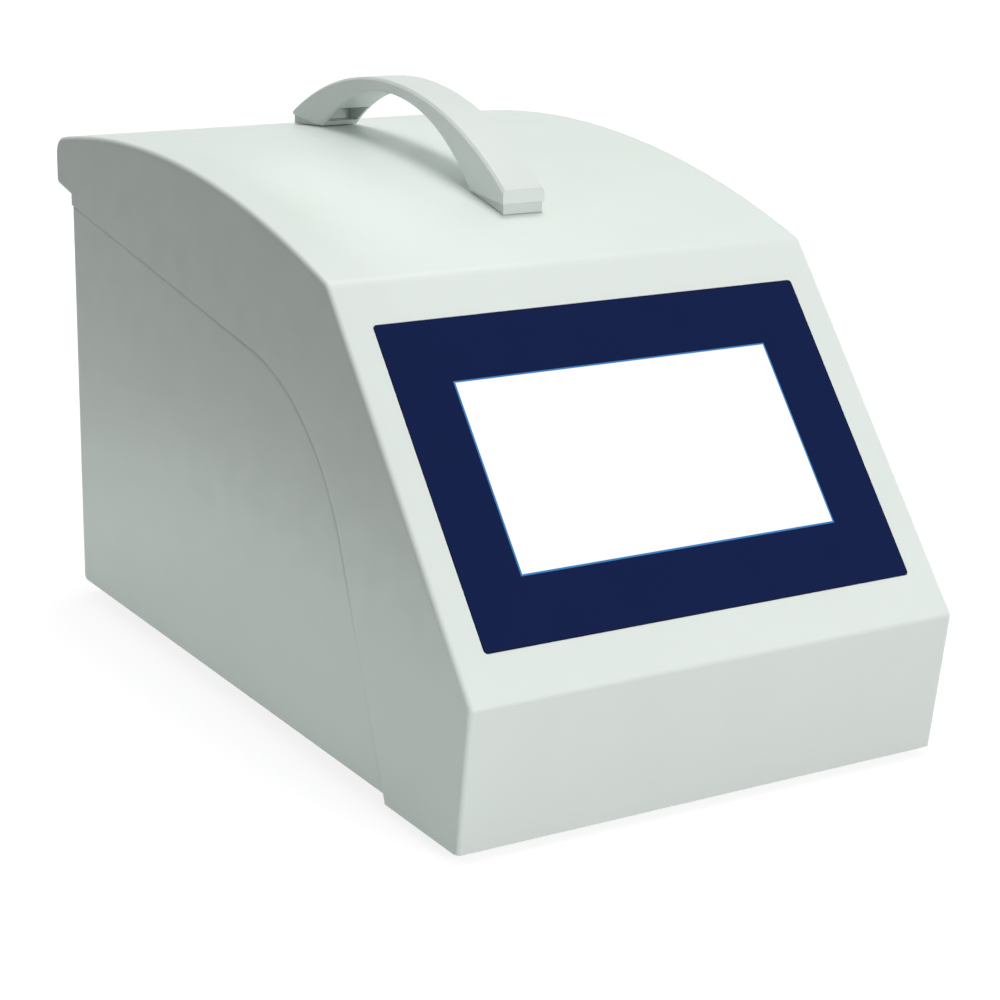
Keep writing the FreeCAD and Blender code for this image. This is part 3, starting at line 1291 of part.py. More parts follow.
def fan_rotor():
    """Hub on a shaft, with flat blades set at a pitch round it."""
    front = -PANEL_THICKNESS - FAN_TIP_GAP
    middle = front - FAN_HUB_DEPTH / 2
    hub = rod(FAN_HUB_RADIUS, V(0, 0, front - FAN_HUB_DEPTH), AXIS_Z, FAN_HUB_DEPTH)
    shaft_end = fan_back() + SLIDE_CLEARANCE
    shaft = rod(FAN_SHAFT_RADIUS, V(0, 0, shaft_end), AXIS_Z, middle - shaft_end)
    blades = []
    root = FAN_HUB_RADIUS / 2
    tip = FAN_BORE_RADIUS - 2 * FAN_TIP_GAP
    half = FAN_BLADE_CHORD / 2
    for index in range(FAN_BLADES):
        blade = box(root, tip, -half, half, -FAN_BLADE_THICKNESS / 2, FAN_BLADE_THICKNESS / 2)
        blade.rotate(V(0, 0, 0), AXIS_X, FAN_PITCH)
        blade.translate(V(0, 0, middle))
        blade.rotate(V(0, 0, 0), AXIS_Z, index * 360 / FAN_BLADES)
        blades.append(blade)
    return to_rear(hub.fuse([shaft] + blades).removeSplitter(), FAN_X, FAN_Z)


def grille_slots():
    """Level slots in the panel that fill a circle in front of the fan."""
    slots = []
    count = int(GRILLE_RADIUS / GRILLE_PITCH)
    for index in range(-count, count + 1):
        y = index * GRILLE_PITCH
        half = math.sqrt(GRILLE_RADIUS ** 2 - y ** 2)
        slots.append(block(2 * half, GRILLE_SLOT, -2 * PANEL_THICKNESS, PANEL_THICKNESS, 0.0, y))
    return slots


# Data ports
def shell_outline(inset, z):
    """The D-shaped shell's outline, its upper side wider than its lower."""
    half = SERIAL_SHELL_WIDTH / 2 - inset
    low = half - SERIAL_SHELL_SLANT
    up = SERIAL_SHELL_HEIGHT / 2 - inset
    corners = [V(-half, -up, z), V(half, -up, z), V(low, up, z), V(-low, up, z)]
    return Part.Face(Part.Wire([line(a, b) for a, b in zip(corners, corners[1:] + corners[:1])]))


def serial_port():
    """Nine-way port: flange, D-shaped shell round its insert, body behind the panel."""
    face = SERIAL_FLANGE_THICKNESS
    flange = block(SERIAL_FLANGE_WIDTH, SERIAL_FLANGE_HEIGHT, 0.0, face)
    shell = shell_outline(0.0, face).extrude(AXIS_Z * SERIAL_SHELL_LENGTH)
    inside = shell_outline(SERIAL_SHELL_WALL, face + SERIAL_SHELL_WALL).extrude(AXIS_Z * SERIAL_SHELL_LENGTH)
    body = block(SERIAL_SHELL_WIDTH, SERIAL_SHELL_HEIGHT, -SERIAL_BODY_DEPTH, 0.0)
    return to_rear(flange.fuse([shell, body]).cut(inside), SERIAL_X, PORT_ROW_Z)


def serial_posts():
    posts = []
    for side in (-1, 1):
        start = V(side * SERIAL_POST_SPREAD / 2, 0, SERIAL_FLANGE_THICKNESS)
        post = hex_prism(SERIAL_POST_RADIUS, start, AXIS_Z, SERIAL_POST_LENGTH)
        posts.append(to_rear(post, SERIAL_X, PORT_ROW_Z))
    return group(posts)


def usb_port():
    """Shell with a slot and a contact tongue in the slot's upper half."""
    floor = USB_PROUD - USB_SLOT_DEPTH
    body = block(USB_WIDTH, USB_HEIGHT, USB_PROUD - USB_DEPTH, USB_PROUD)
    body = body.cut(block(USB_SLOT_WIDTH, USB_SLOT_HEIGHT, floor, USB_PROUD))
    tongue = block(USB_TONGUE_WIDTH, USB_TONGUE_THICKNESS, floor, 0.0, 0.0,
                   USB_TONGUE_THICKNESS - USB_SLOT_HEIGHT / 2)
    return to_rear(body.fuse(tongue), USB_X, PORT_ROW_Z)


def rear_panel():
    """Sheet panel with every cut-out that the fittings need."""
    panel = panel_outline(0.0, PANEL_BACK_Y, PANEL_FACE_Y)
    deep = 2 * PANEL_THICKNESS
    stem_hole = rod(FITTING_STEM_RADIUS + SCREW_CLEARANCE, V(0, 0, -deep), AXIS_Z, 2 * deep)
    cuts = [to_rear(stem_hole, x, FITTING_HEIGHT) for x in port_xs()]
    cuts += [to_rear(slot, FAN_X, FAN_Z) for slot in grille_slots()]
    openings = ((INLET_BODY_WIDTH, INLET_BODY_HEIGHT, INLET_X, INLET_Z),
                (SERIAL_SHELL_WIDTH, SERIAL_SHELL_HEIGHT, SERIAL_X, PORT_ROW_Z),
                (USB_WIDTH, USB_HEIGHT, USB_X, PORT_ROW_Z))
    for width, height, x, z in openings:
        cuts.append(to_rear(block(width + SLIDE_CLEARANCE, height + SLIDE_CLEARANCE, -deep, deep), x, z))
    return panel.cut(cuts)


def build():
    """Every node of the model by name."""
    return {
        "front_cover": front_cover(),
        "base_enclosure": base_enclosure(),
        "rear_panel": rear_panel(),
        "rubber_feet": rubber_feet(),
        "handle_bow": handle_bow(),
        "handle_pads": handle_pads(),
        "display_bezel": display_bezel(),
        "touch_glass": touch_glass(),
        "lcd_module": lcd_module(),
        "display_housing": display_housing(),
        "display_clamps": display_clamps(),
        "display_cable": display_cable(),
        "mounting_tray": mounting_tray(),
        "power_supply": power_supply(),
        "supply_terminals": supply_terminals(),
        "main_board": main_board(),
        "board_standoffs": board_standoffs(),
        "board_components": board_components(),
        "pneumatic_block": pneumatic_block(),
        "port_elbows": port_elbows(),
        "tank_stub": tank_stub(),
        "valve_bodies": valve_bodies(),
        "pressure_sensors": pressure_sensors(),
        "reference_tank": reference_tank(),
        "tank_cradles": tank_cradles(),
        "gas_inlet_tube": port_tube(0),
        "gas_outlet_tube": port_tube(1),
        "vent_tube": port_tube(2),
        "tank_tube": tank_tube(),
        "gas_inlet_fitting": gas_inlet_fitting(),
        "release_collet": release_collet(),
        "gas_outlet_coupler": gas_outlet_coupler(),
        "coupler_sleeve": coupler_sleeve(),
        "vent_muffler": vent_muffler(),
        "mains_inlet": mains_inlet(),
        "inlet_pins": inlet_pins(),
        "mains_leads": mains_leads(),
        "fuse_drawer": fuse_drawer(),
        "fuses": fuses(),
        "power_rocker": power_rocker(),
        "fan_frame": fan_frame(),
        "fan_rotor": fan_rotor(),
        "serial_port": serial_port(),
        "serial_posts": serial_posts(),
        "usb_port": usb_port(),
    }


os.makedirs("parts", exist_ok=True)
for name, shape in build().items():
    shape.exportStep("parts/" + name + ".step")
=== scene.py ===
import math

import bmesh
import bpy
import numpy as np
from mathutils import Matrix


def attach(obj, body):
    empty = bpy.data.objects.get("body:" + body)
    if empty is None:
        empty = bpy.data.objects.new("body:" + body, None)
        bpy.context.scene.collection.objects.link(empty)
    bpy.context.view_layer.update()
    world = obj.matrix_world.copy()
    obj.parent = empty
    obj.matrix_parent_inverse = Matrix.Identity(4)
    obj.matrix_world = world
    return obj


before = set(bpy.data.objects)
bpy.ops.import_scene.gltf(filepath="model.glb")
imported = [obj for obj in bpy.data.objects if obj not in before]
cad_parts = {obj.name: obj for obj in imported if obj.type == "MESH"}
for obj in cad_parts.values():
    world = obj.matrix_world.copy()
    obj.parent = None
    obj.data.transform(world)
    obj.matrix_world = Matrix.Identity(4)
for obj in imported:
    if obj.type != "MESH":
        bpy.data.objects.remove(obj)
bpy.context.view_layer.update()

MM = 0.001

# Places that the looks refer to, in millimetres of the object's own frame: slant, screen window and rear fittings
FOLD_Y = -202.25
FOLD_Z = 66.0
SLANT_DEGREES = 50.55
BEZEL_MIDDLE = 91.95
WINDOW_WIDTH = 154.4
WINDOW_HEIGHT = 85.9
SCREEN_LINE = 0.9
PANEL_FACE = 180.75
FRAME_FACE = 182.75
SERIAL_AT = (32.0, 122.0)
FAN_AT = (-52.0, 142.0)
ROCKER_AT = (-65.0, 80.0)
SLEEVE_AT = (60.0, 62.0)
KNURL_RIDGES = 44.0
# Screws, as X and Z on the rear, or as X, Y and Z underneath
PANEL_SCREWS_X = (-100.6, 100.6)
PANEL_SCREWS_Z = (24.5, 105.75, 187.0)
FAN_SCREW_REACH = 25.0
REAR_COVER_SCREWS = ((-80.0, 198.0), (80.0, 198.0))
UNDER_COVER_SCREWS = ((-96.0, -176.25, 8.5), (96.0, -176.25, 8.5))
# The cover seen from the side: skirt, slant, crowned top, rear lip, and the rounds between them
HALF_WIDTH = 118.0
FRONT_UNDERCUT = 8.3
SKIRT_BOTTOM = 3.6
SLANT_LENGTH = 183.3
CROWN_SETBACK = 184.5
CROWN_RISE = 29.9
LIP_REAR_Y = 202.25
LIP_HEIGHT = 22.0
LIP_UNDERSIDE_DROP = 4.0
THROAT_Y = 183.05
FOLD_ROUND = 3.2
BROW_ROUND = 8.0
LIP_TOP_ROUND = 9.0
LIP_LOWER_ROUND = 3.2
# The cover's long edges: how wide they are bevelled, and the round that lies on that bevel
EDGE_BEVEL = 2.6
EDGE_ROUND = 2.2
# The seam between cover and base, and the base's sides as the photo shows them: flush with the cover
SEAM_REAR_Z = 198.0
SEAM_SLOPE = 8.8
SEAM_LEG = 69.0
SEAM_RADIUS = 104.0
SEAM_GAP = 0.3
SEAM_FOOT_Y = FOLD_Y + 66.0
SIDE_REAR_Y = 183.0
SIDE_BOTTOM = 6.9
SIDE_FACE = 117.8
SIDE_SKIN = 1.8
SIDE_ROUND_WIDTH = 2.4
SIDE_ROUND_DEPTH = 1.1
SIDE_HEEL_ROUND = 3.2
# The photo's view, in metres and degrees, from a camera fitted to the object's straight edges
CAMERA_PLACE = (-0.5645, -0.9536, 0.4051)
CAMERA_FORWARD = (0.49959, 0.81928, -0.28140)
CAMERA_ROLL = 0.988
CAMERA_LENS = 89.83


def linear(hex_code):
    """A colour written as in a paint program, as the linear values that light adds up in."""
    parts = [int(hex_code[k:k + 2], 16) / 255 for k in (0, 2, 4)]
    return tuple(p / 12.92 if p <= 0.04045 else ((p + 0.055) / 1.055) ** 2.4 for p in parts) + (1.0,)


# Node trees
def node(tree, kind, inputs=None, **settings):
    """Adds one node; inputs maps a socket to a value, to an output, or to a node whose first live output it takes."""
    made = tree.nodes.new("ShaderNode" + kind)
    for key, value in settings.items():
        setattr(made, key, value)
    for key, value in (inputs or {}).items():
        if isinstance(value, bpy.types.Node):
            value = next(output for output in value.outputs if output.enabled)
        if isinstance(value, bpy.types.NodeSocket):
            tree.links.new(value, made.inputs[key])
        else:
            made.inputs[key].default_value = value
    return made


def new_material(name):
    """An empty material, its node tree, and object coordinates in millimetres."""
    material = bpy.data.materials.new(name)
    material.use_nodes = True
    tree = material.node_tree
    tree.nodes.clear()
    metres = node(tree, "TexCoord").outputs["Object"]
    return material, tree, node(tree, "VectorMath", {0: metres, 1: (1000.0, 1000.0, 1000.0)}, operation="MULTIPLY")


def finished(material, tree, inputs):
    """Closes a material with one principled shader that has these inputs."""
    node(tree, "OutputMaterial", {"Surface": node(tree, "BsdfPrincipled", inputs)})
    return material


def drift(tree, where, lump, low, high, detail=2.0):
    """A value that wanders from low to high in lumps of about this many millimetres: a noise's middle, stretched."""
    noise = node(tree, "TexNoise", {"Vector": where, "Scale": 1.0 / lump, "Detail": detail})
    return node(tree, "MapRange", {"Value": noise, "From Min": 0.3, "From Max": 0.7, "To Min": low, "To Max": high})


def mottled(tree, where, lump, first, second):
    """Two near colours, written in hex, that pass into each other in lumps of about this many millimetres."""
    noise = node(tree, "TexNoise", {"Vector": where, "Scale": 1.0 / lump, "Detail": 2.0})
    return node(tree, "Mix", {0: noise, 6: linear(first), 7: linear(second)}, data_type="RGBA")


def bumped(tree, height, strength, depth, soft_edge=None):
    """A normal from a height pattern; soft_edge rounds sharp edges by that many millimetres for the light."""
    inputs = {"Height": height, "Strength": strength, "Distance": depth * MM}
    if soft_edge:
        inputs["Normal"] = node(tree, "Bevel", {"Radius": soft_edge * MM}, samples=4)
    return node(tree, "Bump", inputs)


def grained(tree, where, lump, strength, depth, soft_edge=None, detail=2.0):
    """The normal of an even grain whose lumps and depth are given in millimetres."""
    noise = node(tree, "TexNoise", {"Vector": where, "Scale": 1.0 / lump, "Detail": detail})
    return bumped(tree, noise, strength, depth, soft_edge)


def inside_box(tree, where, middle, half):
    """1 inside a box round middle, 0 outside it: on each axis the way from the middle is less than half the box."""
    moved = node(tree, "VectorMath", {0: where, 1: middle}, operation="SUBTRACT")
    axes = node(tree, "SeparateXYZ", {0: node(tree, "VectorMath", {0: moved}, operation="ABSOLUTE")})
    held = [node(tree, "Math", {0: axes.outputs[k], 1: half[k]}, operation="LESS_THAN") for k in range(3)]
    both = node(tree, "Math", {0: held[0], 1: held[1]}, operation="MULTIPLY")
    return node(tree, "Math", {0: both, 1: held[2]}, operation="MULTIPLY")


def slanted(tree, where):
    """Coordinates on the slant: X across, Y up the slope from the front fold, Z out of the face."""
    moved = node(tree, "VectorMath", {0: where, 1: (0.0, FOLD_Y, FOLD_Z)}, operation="SUBTRACT")
    return node(tree, "VectorRotate", {"Vector": moved, "Angle": math.radians(-SLANT_DEGREES)}, rotation_type="X_AXIS")


def background_rays(tree):
    """1 for rays that look at the background, straight on, in gloss or through glass; 0 for light on a surface."""
    rays = node(tree, "LightPath").outputs
    looked_at = node(tree, "Math", {0: rays["Is Camera Ray"], 1: rays["Is Glossy Ray"]}, operation="MAXIMUM")
    return node(tree, "Math", {0: looked_at, 1: rays["Is Transmission Ray"]}, operation="MAXIMUM")


# Materials
def moulded(name, colour, shade, rough=(0.4, 0.5), grain=0.35, depth=0.02, ior=1.49, coat=0.0, soft_edge=0.3):
    """Injection moulding: a fine spark-eroded grain, and slow drifts of tone and gloss as the melt flowed."""
    material, tree, where = new_material(name)
    tone = drift(tree, where, 45.0, 0.0, 1.0)
    return finished(material, tree, {
        "Base Color": node(tree, "Mix", {0: tone, 6: linear(colour), 7: linear(shade)}, data_type="RGBA"),
        "Roughness": drift(tree, where, 12.0, rough[0], rough[1]),
        "IOR": ior,
        "Coat Weight": coat,
        "Normal": grained(tree, where, grain, 0.25, depth, soft_edge, 3.0),
    })


def metal(name, colour, shade, rough=(0.25, 0.4), stretch=(1.0, 1.0, 1.0), grain=0.6, soft_edge=0.2):
    """Metal with drawn or turned marks: noise stretched along the way it was worked."""
    material, tree, where = new_material(name)
    tone = drift(tree, where, 8.0, 0.0, 1.0)
    drawn = node(tree, "VectorMath", {0: where, 1: stretch}, operation="MULTIPLY")
    return finished(material, tree, {
        "Base Color": node(tree, "Mix", {0: tone, 6: linear(colour), 7: linear(shade)}, data_type="RGBA"),
        "Metallic": 1.0,
        "Roughness": drift(tree, drawn, grain, rough[0], rough[1], 4.0),
        "Normal": grained(tree, drawn, grain, 0.15, 0.02, soft_edge, 4.0),
    })


def screen_material():
    """Lit blank screen under touch glass: even white, a thin blue line round it and a dark margin."""
    material, tree, where = new_material("touch_screen_lit_white")
    flat = slanted(tree, where)
    middle = (0.0, BEZEL_MIDDLE, 0.0)
    lit, edge = (inside_box(tree, flat, middle, (WINDOW_WIDTH / 2 + line, WINDOW_HEIGHT / 2 + line, 3.0))
                 for line in (-SCREEN_LINE, SCREEN_LINE))
    glow = mottled(tree, flat, 60.0, "FBFCFD", "FFFFFF")
    picture = node(tree, "Mix", {0: lit, 6: linear("0C70B4"), 7: glow}, data_type="RGBA")
    return finished(material, tree, {
        "Base Color": node(tree, "Mix", {0: edge, 6: linear("0B1020"), 7: linear("20242A")}, data_type="RGBA"),
        "Roughness": drift(tree, flat, 9.0, 0.16, 0.22),
        "IOR": 1.52,
        "Emission Color": node(tree, "Mix", {0: edge, 6: linear("0B1020"), 7: picture}, data_type="RGBA"),
        "Emission Strength": 0.97,
    })


def bezel_material():
    """Printed polyester front film: deep navy, evenly matt, with a faint weave of the print."""
    material, tree, where = new_material("printed_film_navy")
    flat = slanted(tree, where)
    return finished(material, tree, {
        "Base Color": mottled(tree, flat, 25.0, "142048", "15224B"),
        "Roughness": drift(tree, flat, 0.5, 0.5, 0.6),
        "IOR": 1.5,
        "Specular IOR Level": 0.02,
        "Normal": grained(tree, flat, 0.4, 0.1, 0.01, 0.2),
    })


def panel_material():
    """Powder coat on sheet steel: fine orange peel over a light grey."""
    material, tree, where = new_material("powder_coat_light_grey")
    return finished(material, tree, {
        "Base Color": mottled(tree, where, 30.0, "C9CDCB", "CFD3D1"),
        "Roughness": drift(tree, where, 1.2, 0.48, 0.6),
        "IOR": 1.5,
        "Normal": grained(tree, where, 0.9, 0.35, 0.03, 0.2, 3.0),
    })


def serial_material():
    """Plated shell of the nine-way port, with a black insert on its floor."""
    material, tree, where = new_material("plated_shell_black_insert")
    x, z = SERIAL_AT
    insert = inside_box(tree, where, (x, PANEL_FACE, z), (7.4, 2.4, 3.3))
    plated = mottled(tree, where, 3.0, "B9BBBA", "C7C8C6")
    return finished(material, tree, {
        "Base Color": node(tree, "Mix", {0: insert, 6: plated, 7: linear("0D0D0E")}, data_type="RGBA"),
        "Metallic": node(tree, "Math", {0: 1.0, 1: insert}, operation="SUBTRACT"),
        "Roughness": drift(tree, where, 1.5, 0.3, 0.42),
        "Normal": grained(tree, where, 0.5, 0.1, 0.02, 0.2),
    })


def sleeve_material():
    """Turned and nickel plated sleeve, its outside cut with a straight knurl: a sine of the angle round its axis."""
    material, tree, where = new_material("plated_knurled_sleeve")
    x, z = SLEEVE_AT
    axes = node(tree, "SeparateXYZ", {0: node(tree, "VectorMath", {0: where, 1: (x, 0.0, z)}, operation="SUBTRACT")})
    angle = node(tree, "Math", {0: axes.outputs["X"], 1: axes.outputs["Z"]}, operation="ARCTAN2")
    turns = node(tree, "Math", {0: angle, 1: KNURL_RIDGES}, operation="MULTIPLY")
    return finished(material, tree, {
        "Base Color": mottled(tree, where, 4.0, "B4B5B2", "C6C6C2"),
        "Metallic": 1.0,
        "Roughness": drift(tree, where, 1.0, 0.2, 0.32),
        "Normal": bumped(tree, node(tree, "Math", {0: turns}, operation="SINE"), 0.6, 0.25, 0.3),
    })


def rocker_material():
    """Black rocker, printed with a bar on one half and a ring on the other."""
    material, tree, where = new_material("black_rocker_printed_marks")
    x, z = ROCKER_AT
    bar = inside_box(tree, where, (x, 185.0, z + 4.0), (0.45, 9.0, 2.0))
    moved = node(tree, "VectorMath", {0: where, 1: (x, 0.0, z - 4.0)}, operation="SUBTRACT")
    level = node(tree, "VectorMath", {0: moved, 1: (1.0, 0.0, 1.0)}, operation="MULTIPLY")
    far = node(tree, "VectorMath", {0: level}, operation="LENGTH")
    past_ring = node(tree, "Math", {0: far, 1: 1.7}, operation="SUBTRACT")
    off_line = node(tree, "Math", {0: past_ring}, operation="ABSOLUTE")
    ring = node(tree, "Math", {0: off_line, 1: 0.35}, operation="LESS_THAN")
    marks = node(tree, "Math", {0: bar, 1: ring}, operation="MAXIMUM")
    black = mottled(tree, where, 6.0, "141415", "19191A")
    return finished(material, tree, {
        "Base Color": node(tree, "Mix", {0: marks, 6: black, 7: linear("E4E4E2")}, data_type="RGBA"),
        "Roughness": drift(tree, where, 2.0, 0.28, 0.38),
        "Normal": grained(tree, where, 0.4, 0.1, 0.02, 0.4),
    })


def sintered_material():
    """Sintered bronze: packed small grains, dull yellow."""
    material, tree, where = new_material("sintered_bronze")
    grains = node(tree, "TexVoronoi", {"Vector": where, "Scale": 1.6}).outputs["Distance"]
    return finished(material, tree, {
        "Base Color": node(tree, "Mix", {0: grains, 6: linear("B99A5B"), 7: linear("8F7442")}, data_type="RGBA"),
        "Metallic": 1.0,
        "Roughness": drift(tree, where, 0.8, 0.42, 0.6),
        "Normal": bumped(tree, grains, 0.7, 0.2),
    })


# Off-white ABS: pale with a faint green cast, half gloss
case_plastic = moulded("moulded_abs_off_white", "E1E9E5", "DFE7E2", rough=(0.38, 0.46), grain=0.5, depth=0.03,
                       soft_edge=None)
# The handle is the same plastic from a smoother tool
handle_plastic = moulded("moulded_handle_off_white", "D9E0DD", "D7DEDA", rough=(0.34, 0.42), grain=0.5, soft_edge=0.5)
pad_plastic = moulded("moulded_pad_pale_grey", "C9CFCB", "C5CBC7", rough=(0.45, 0.55))
# Carbon-filled rubber: near black, dusty and matt
foot_rubber = moulded("rubber_black_matt", "1C1C1D", "242425", rough=(0.75, 0.88), grain=0.8, depth=0.05)
black_plastic = moulded("moulded_nylon_black", "151516", "1B1B1C", rough=(0.42, 0.55))
board_mask = moulded("board_solder_mask_green", "0F4A28", "14552F", rough=(0.25, 0.35), coat=0.4)
tube_plastic = moulded("polyurethane_tube_blue", "2A5FB0", "2F66B8", rough=(0.2, 0.3), coat=0.3)
lead_plastic = moulded("wire_insulation_grey", "77787A", "6D6E70", rough=(0.4, 0.5))
fuse_plastic = moulded("fuse_body_pale", "DDE1DF", "CFD4D2", rough=(0.12, 0.2), coat=0.5)
# Zinc plated sheet: cool grey with rolled marks along the sheet
sheet_steel = metal("zinc_plated_sheet", "A9ADB0", "B7BABC", stretch=(1.0, 0.08, 1.0))
# Nickel plate over turned brass: bright and slightly warm
nickel = metal("nickel_plate_turned", "BDBDB9", "C9C9C4", rough=(0.16, 0.28), stretch=(1.0, 6.0, 1.0))
machined_aluminium = metal("machined_aluminium", "B4B6B8", "BFC1C3", rough=(0.3, 0.42), stretch=(0.1, 1.0, 1.0))
turned_brass = metal("turned_brass", "C79A4C", "BD9044", stretch=(1.0, 6.0, 1.0))

NODE_MATERIALS = {
    case_plastic: ("front_cover", "base_enclosure"),
    handle_plastic: ("handle_bow",),
    pad_plastic: ("handle_pads",),
    foot_rubber: ("rubber_feet",),
    panel_material(): ("rear_panel",),
    bezel_material(): ("display_bezel",),
    screen_material(): ("touch_glass",),
    rocker_material(): ("power_rocker",),
    serial_material(): ("serial_port",),
    sleeve_material(): ("coupler_sleeve",),
    sintered_material(): ("vent_muffler",),
    sheet_steel: ("lcd_module", "display_clamps", "mounting_tray", "power_supply", "reference_tank"),
    machined_aluminium: ("pneumatic_block",),
    turned_brass: ("tank_stub",),
    nickel: ("gas_inlet_fitting", "gas_outlet_coupler", "inlet_pins", "serial_posts", "usb_port"),
    board_mask: ("main_board",),
    tube_plastic: ("gas_inlet_tube", "gas_outlet_tube", "vent_tube", "tank_tube"),
    lead_plastic: ("mains_leads", "display_cable"),
    fuse_plastic: ("fuses",),
}
for material, names in NODE_MATERIALS.items():
    for name in names:
        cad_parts[name].data.materials[0] = material
painted = {name for names in NODE_MATERIALS.values() for name in names}
for name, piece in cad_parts.items():
    if name not in painted:
        piece.data.materials[0] = black_plastic


# Small pieces
def mesh_piece(name, points, faces, material, body):
    """A closed mesh in the object's frame, points in millimetres, riding on one body; its end faces stay flat."""
    mesh = bpy.data.meshes.new(name)
    mesh.from_pydata((np.asarray(points) * MM).tolist(), [], faces)
    mesh.polygons.foreach_set("use_smooth", [len(face) == 4 for face in faces])
    shell = bmesh.new()
    shell.from_mesh(mesh)
    bmesh.ops.recalc_face_normals(shell, faces=shell.faces)
    shell.to_mesh(mesh)
    shell.free()
    mesh.materials.append(material)
    mesh.set_sharp_from_angle(angle=math.radians(35))
    piece = bpy.data.objects.new(name, mesh)
    bpy.context.scene.collection.objects.link(piece)
    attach(piece, body)


def stacked(rings, places):
    """A closed skin through a stack of rings, each ring a row of points, repeated at every place."""
    levels, around = rings.shape[:2]
    base = rings.reshape(-1, 3)
    points = (np.asarray(places)[:, None, :] + base[None]).reshape(-1, 3)
    row = np.arange(levels - 1)[:, None] * around
    here = np.arange(around)[None, :]
    ahead = (here + 1) % around
    quads = np.stack([row + here, row + ahead, row + around + ahead, row + around + here], axis=-1).reshape(-1, 4)
    bottom = np.arange(around)[::-1]
    top = np.arange(around) + (levels - 1) * around
    faces = []
    for index in range(len(places)):
        shift = index * len(base)
        faces += (quads + shift).tolist() + [(bottom + shift).tolist(), (top + shift).tolist()]
    return points, faces


def circle_and_hex(radius, corner_share, height, around=48):
    """A ring whose radius passes from a circle's (share 0) to a hexagon's (share 1)."""
    angle = np.linspace(0, 2 * math.pi, around, endpoint=False)
    hexagon = math.cos(math.pi / 6) / np.cos((angle % (math.pi / 3)) - math.pi / 6)
    reach = radius * (1 - corner_share + corner_share * hexagon)
    return np.stack([reach * np.cos(angle), reach * np.sin(angle), np.full(around, height)], axis=1)


def socket_screw_rings(radius, height):
    """Button head with a hexagon socket: a domed profile, then a hexagon that steps down inside it."""
    profile = [(1.0, 0.0, 0), (1.0, 0.25, 0), (0.95, 0.55, 0), (0.84, 0.8, 0), (0.68, 0.95, 0), (0.58, 1.0, 0),
               (0.5, 1.0, 1), (0.48, 0.95, 1), (0.47, 0.4, 1), (0.2, 0.38, 1)]
    return np.stack([circle_and_hex(radius * r, share, height * z) for r, z, share in profile])


def facing(rings, direction):
    """Turns rings that were stacked along Z towards +Y, or upside down towards -Z."""
    if direction == "rear":
        return np.stack([rings[..., 0], rings[..., 2], -rings[..., 1]], axis=-1)
    return np.stack([rings[..., 0], -rings[..., 1], -rings[..., 2]], axis=-1)


def screws(name, radius, height, direction, places):
    """The heads of one set of nickel plated socket screws, one at each place, as a single piece."""
    points, faces = stacked(facing(socket_screw_rings(radius, height), direction), places)
    mesh_piece(name, points, faces, nickel, "case")


screws("panel_screw_heads", 2.8, 1.6, "rear", [(x, PANEL_FACE, z) for x in PANEL_SCREWS_X for z in PANEL_SCREWS_Z])
screws("fan_screw_heads", 3.2, 1.8, "rear", [
    (FAN_AT[0] + dx, PANEL_FACE, FAN_AT[1] + dz)
    for dx in (-FAN_SCREW_REACH, FAN_SCREW_REACH) for dz in (-FAN_SCREW_REACH, FAN_SCREW_REACH)
])
screws("rear_cover_screw_heads", 3.7, 2.2, "rear", [(x, FRAME_FACE, z) for x, z in REAR_COVER_SCREWS])
screws("front_cover_screw_heads", 3.7, 2.2, "under", UNDER_COVER_SCREWS)


def pin_rings(radius, length, around=20):
    """A round contact pin with a blunt rounded tip."""
    profile = [(1.0, 0.0), (1.0, 0.8), (0.9, 0.9), (0.65, 0.97), (0.25, 1.0)]
    return np.stack([circle_and_hex(radius * r, 0, length * z, around) for r, z in profile])


def serial_pins():
    """Five contact pins over four, in the nine-way shell."""
    x, z = SERIAL_AT
    pitch = 2.77
    half_rows = 1.42
    floor = PANEL_FACE + 2.0
    places = [(x + (k - 2) * pitch, floor, z - half_rows) for k in range(5)]
    places += [(x + (k - 1.5) * pitch, floor, z + half_rows) for k in range(4)]
    points, faces = stacked(facing(pin_rings(0.5, 4.6), "rear"), places)
    mesh_piece("serial_contact_pins", points, faces, nickel, "case")


serial_pins()


# Rounded long edges of the cover, and the outer sides of the base
def corner_round(before, corner, after, radius, steps=7):
    """Points of the arc that rounds a corner: it touches both legs, at radius times the tangent of half the turn."""
    before, corner, after = (np.asarray(p, float) for p in (before, corner, after))
    back = (before - corner) / np.linalg.norm(before - corner)
    ahead = (after - corner) / np.linalg.norm(after - corner)
    half = math.acos(np.clip(back @ ahead, -1, 1)) / 2
    middle = corner + (back + ahead) / np.linalg.norm(back + ahead) * (radius / math.sin(half))
    first = corner + back * (radius / math.tan(half)) - middle
    last = corner + ahead * (radius / math.tan(half)) - middle
    share = np.linspace(0, 1, steps)[:, None]
    turn = math.pi - 2 * half
    return middle + (np.sin((1 - share) * turn) * first + np.sin(share * turn) * last) / math.sin(turn)


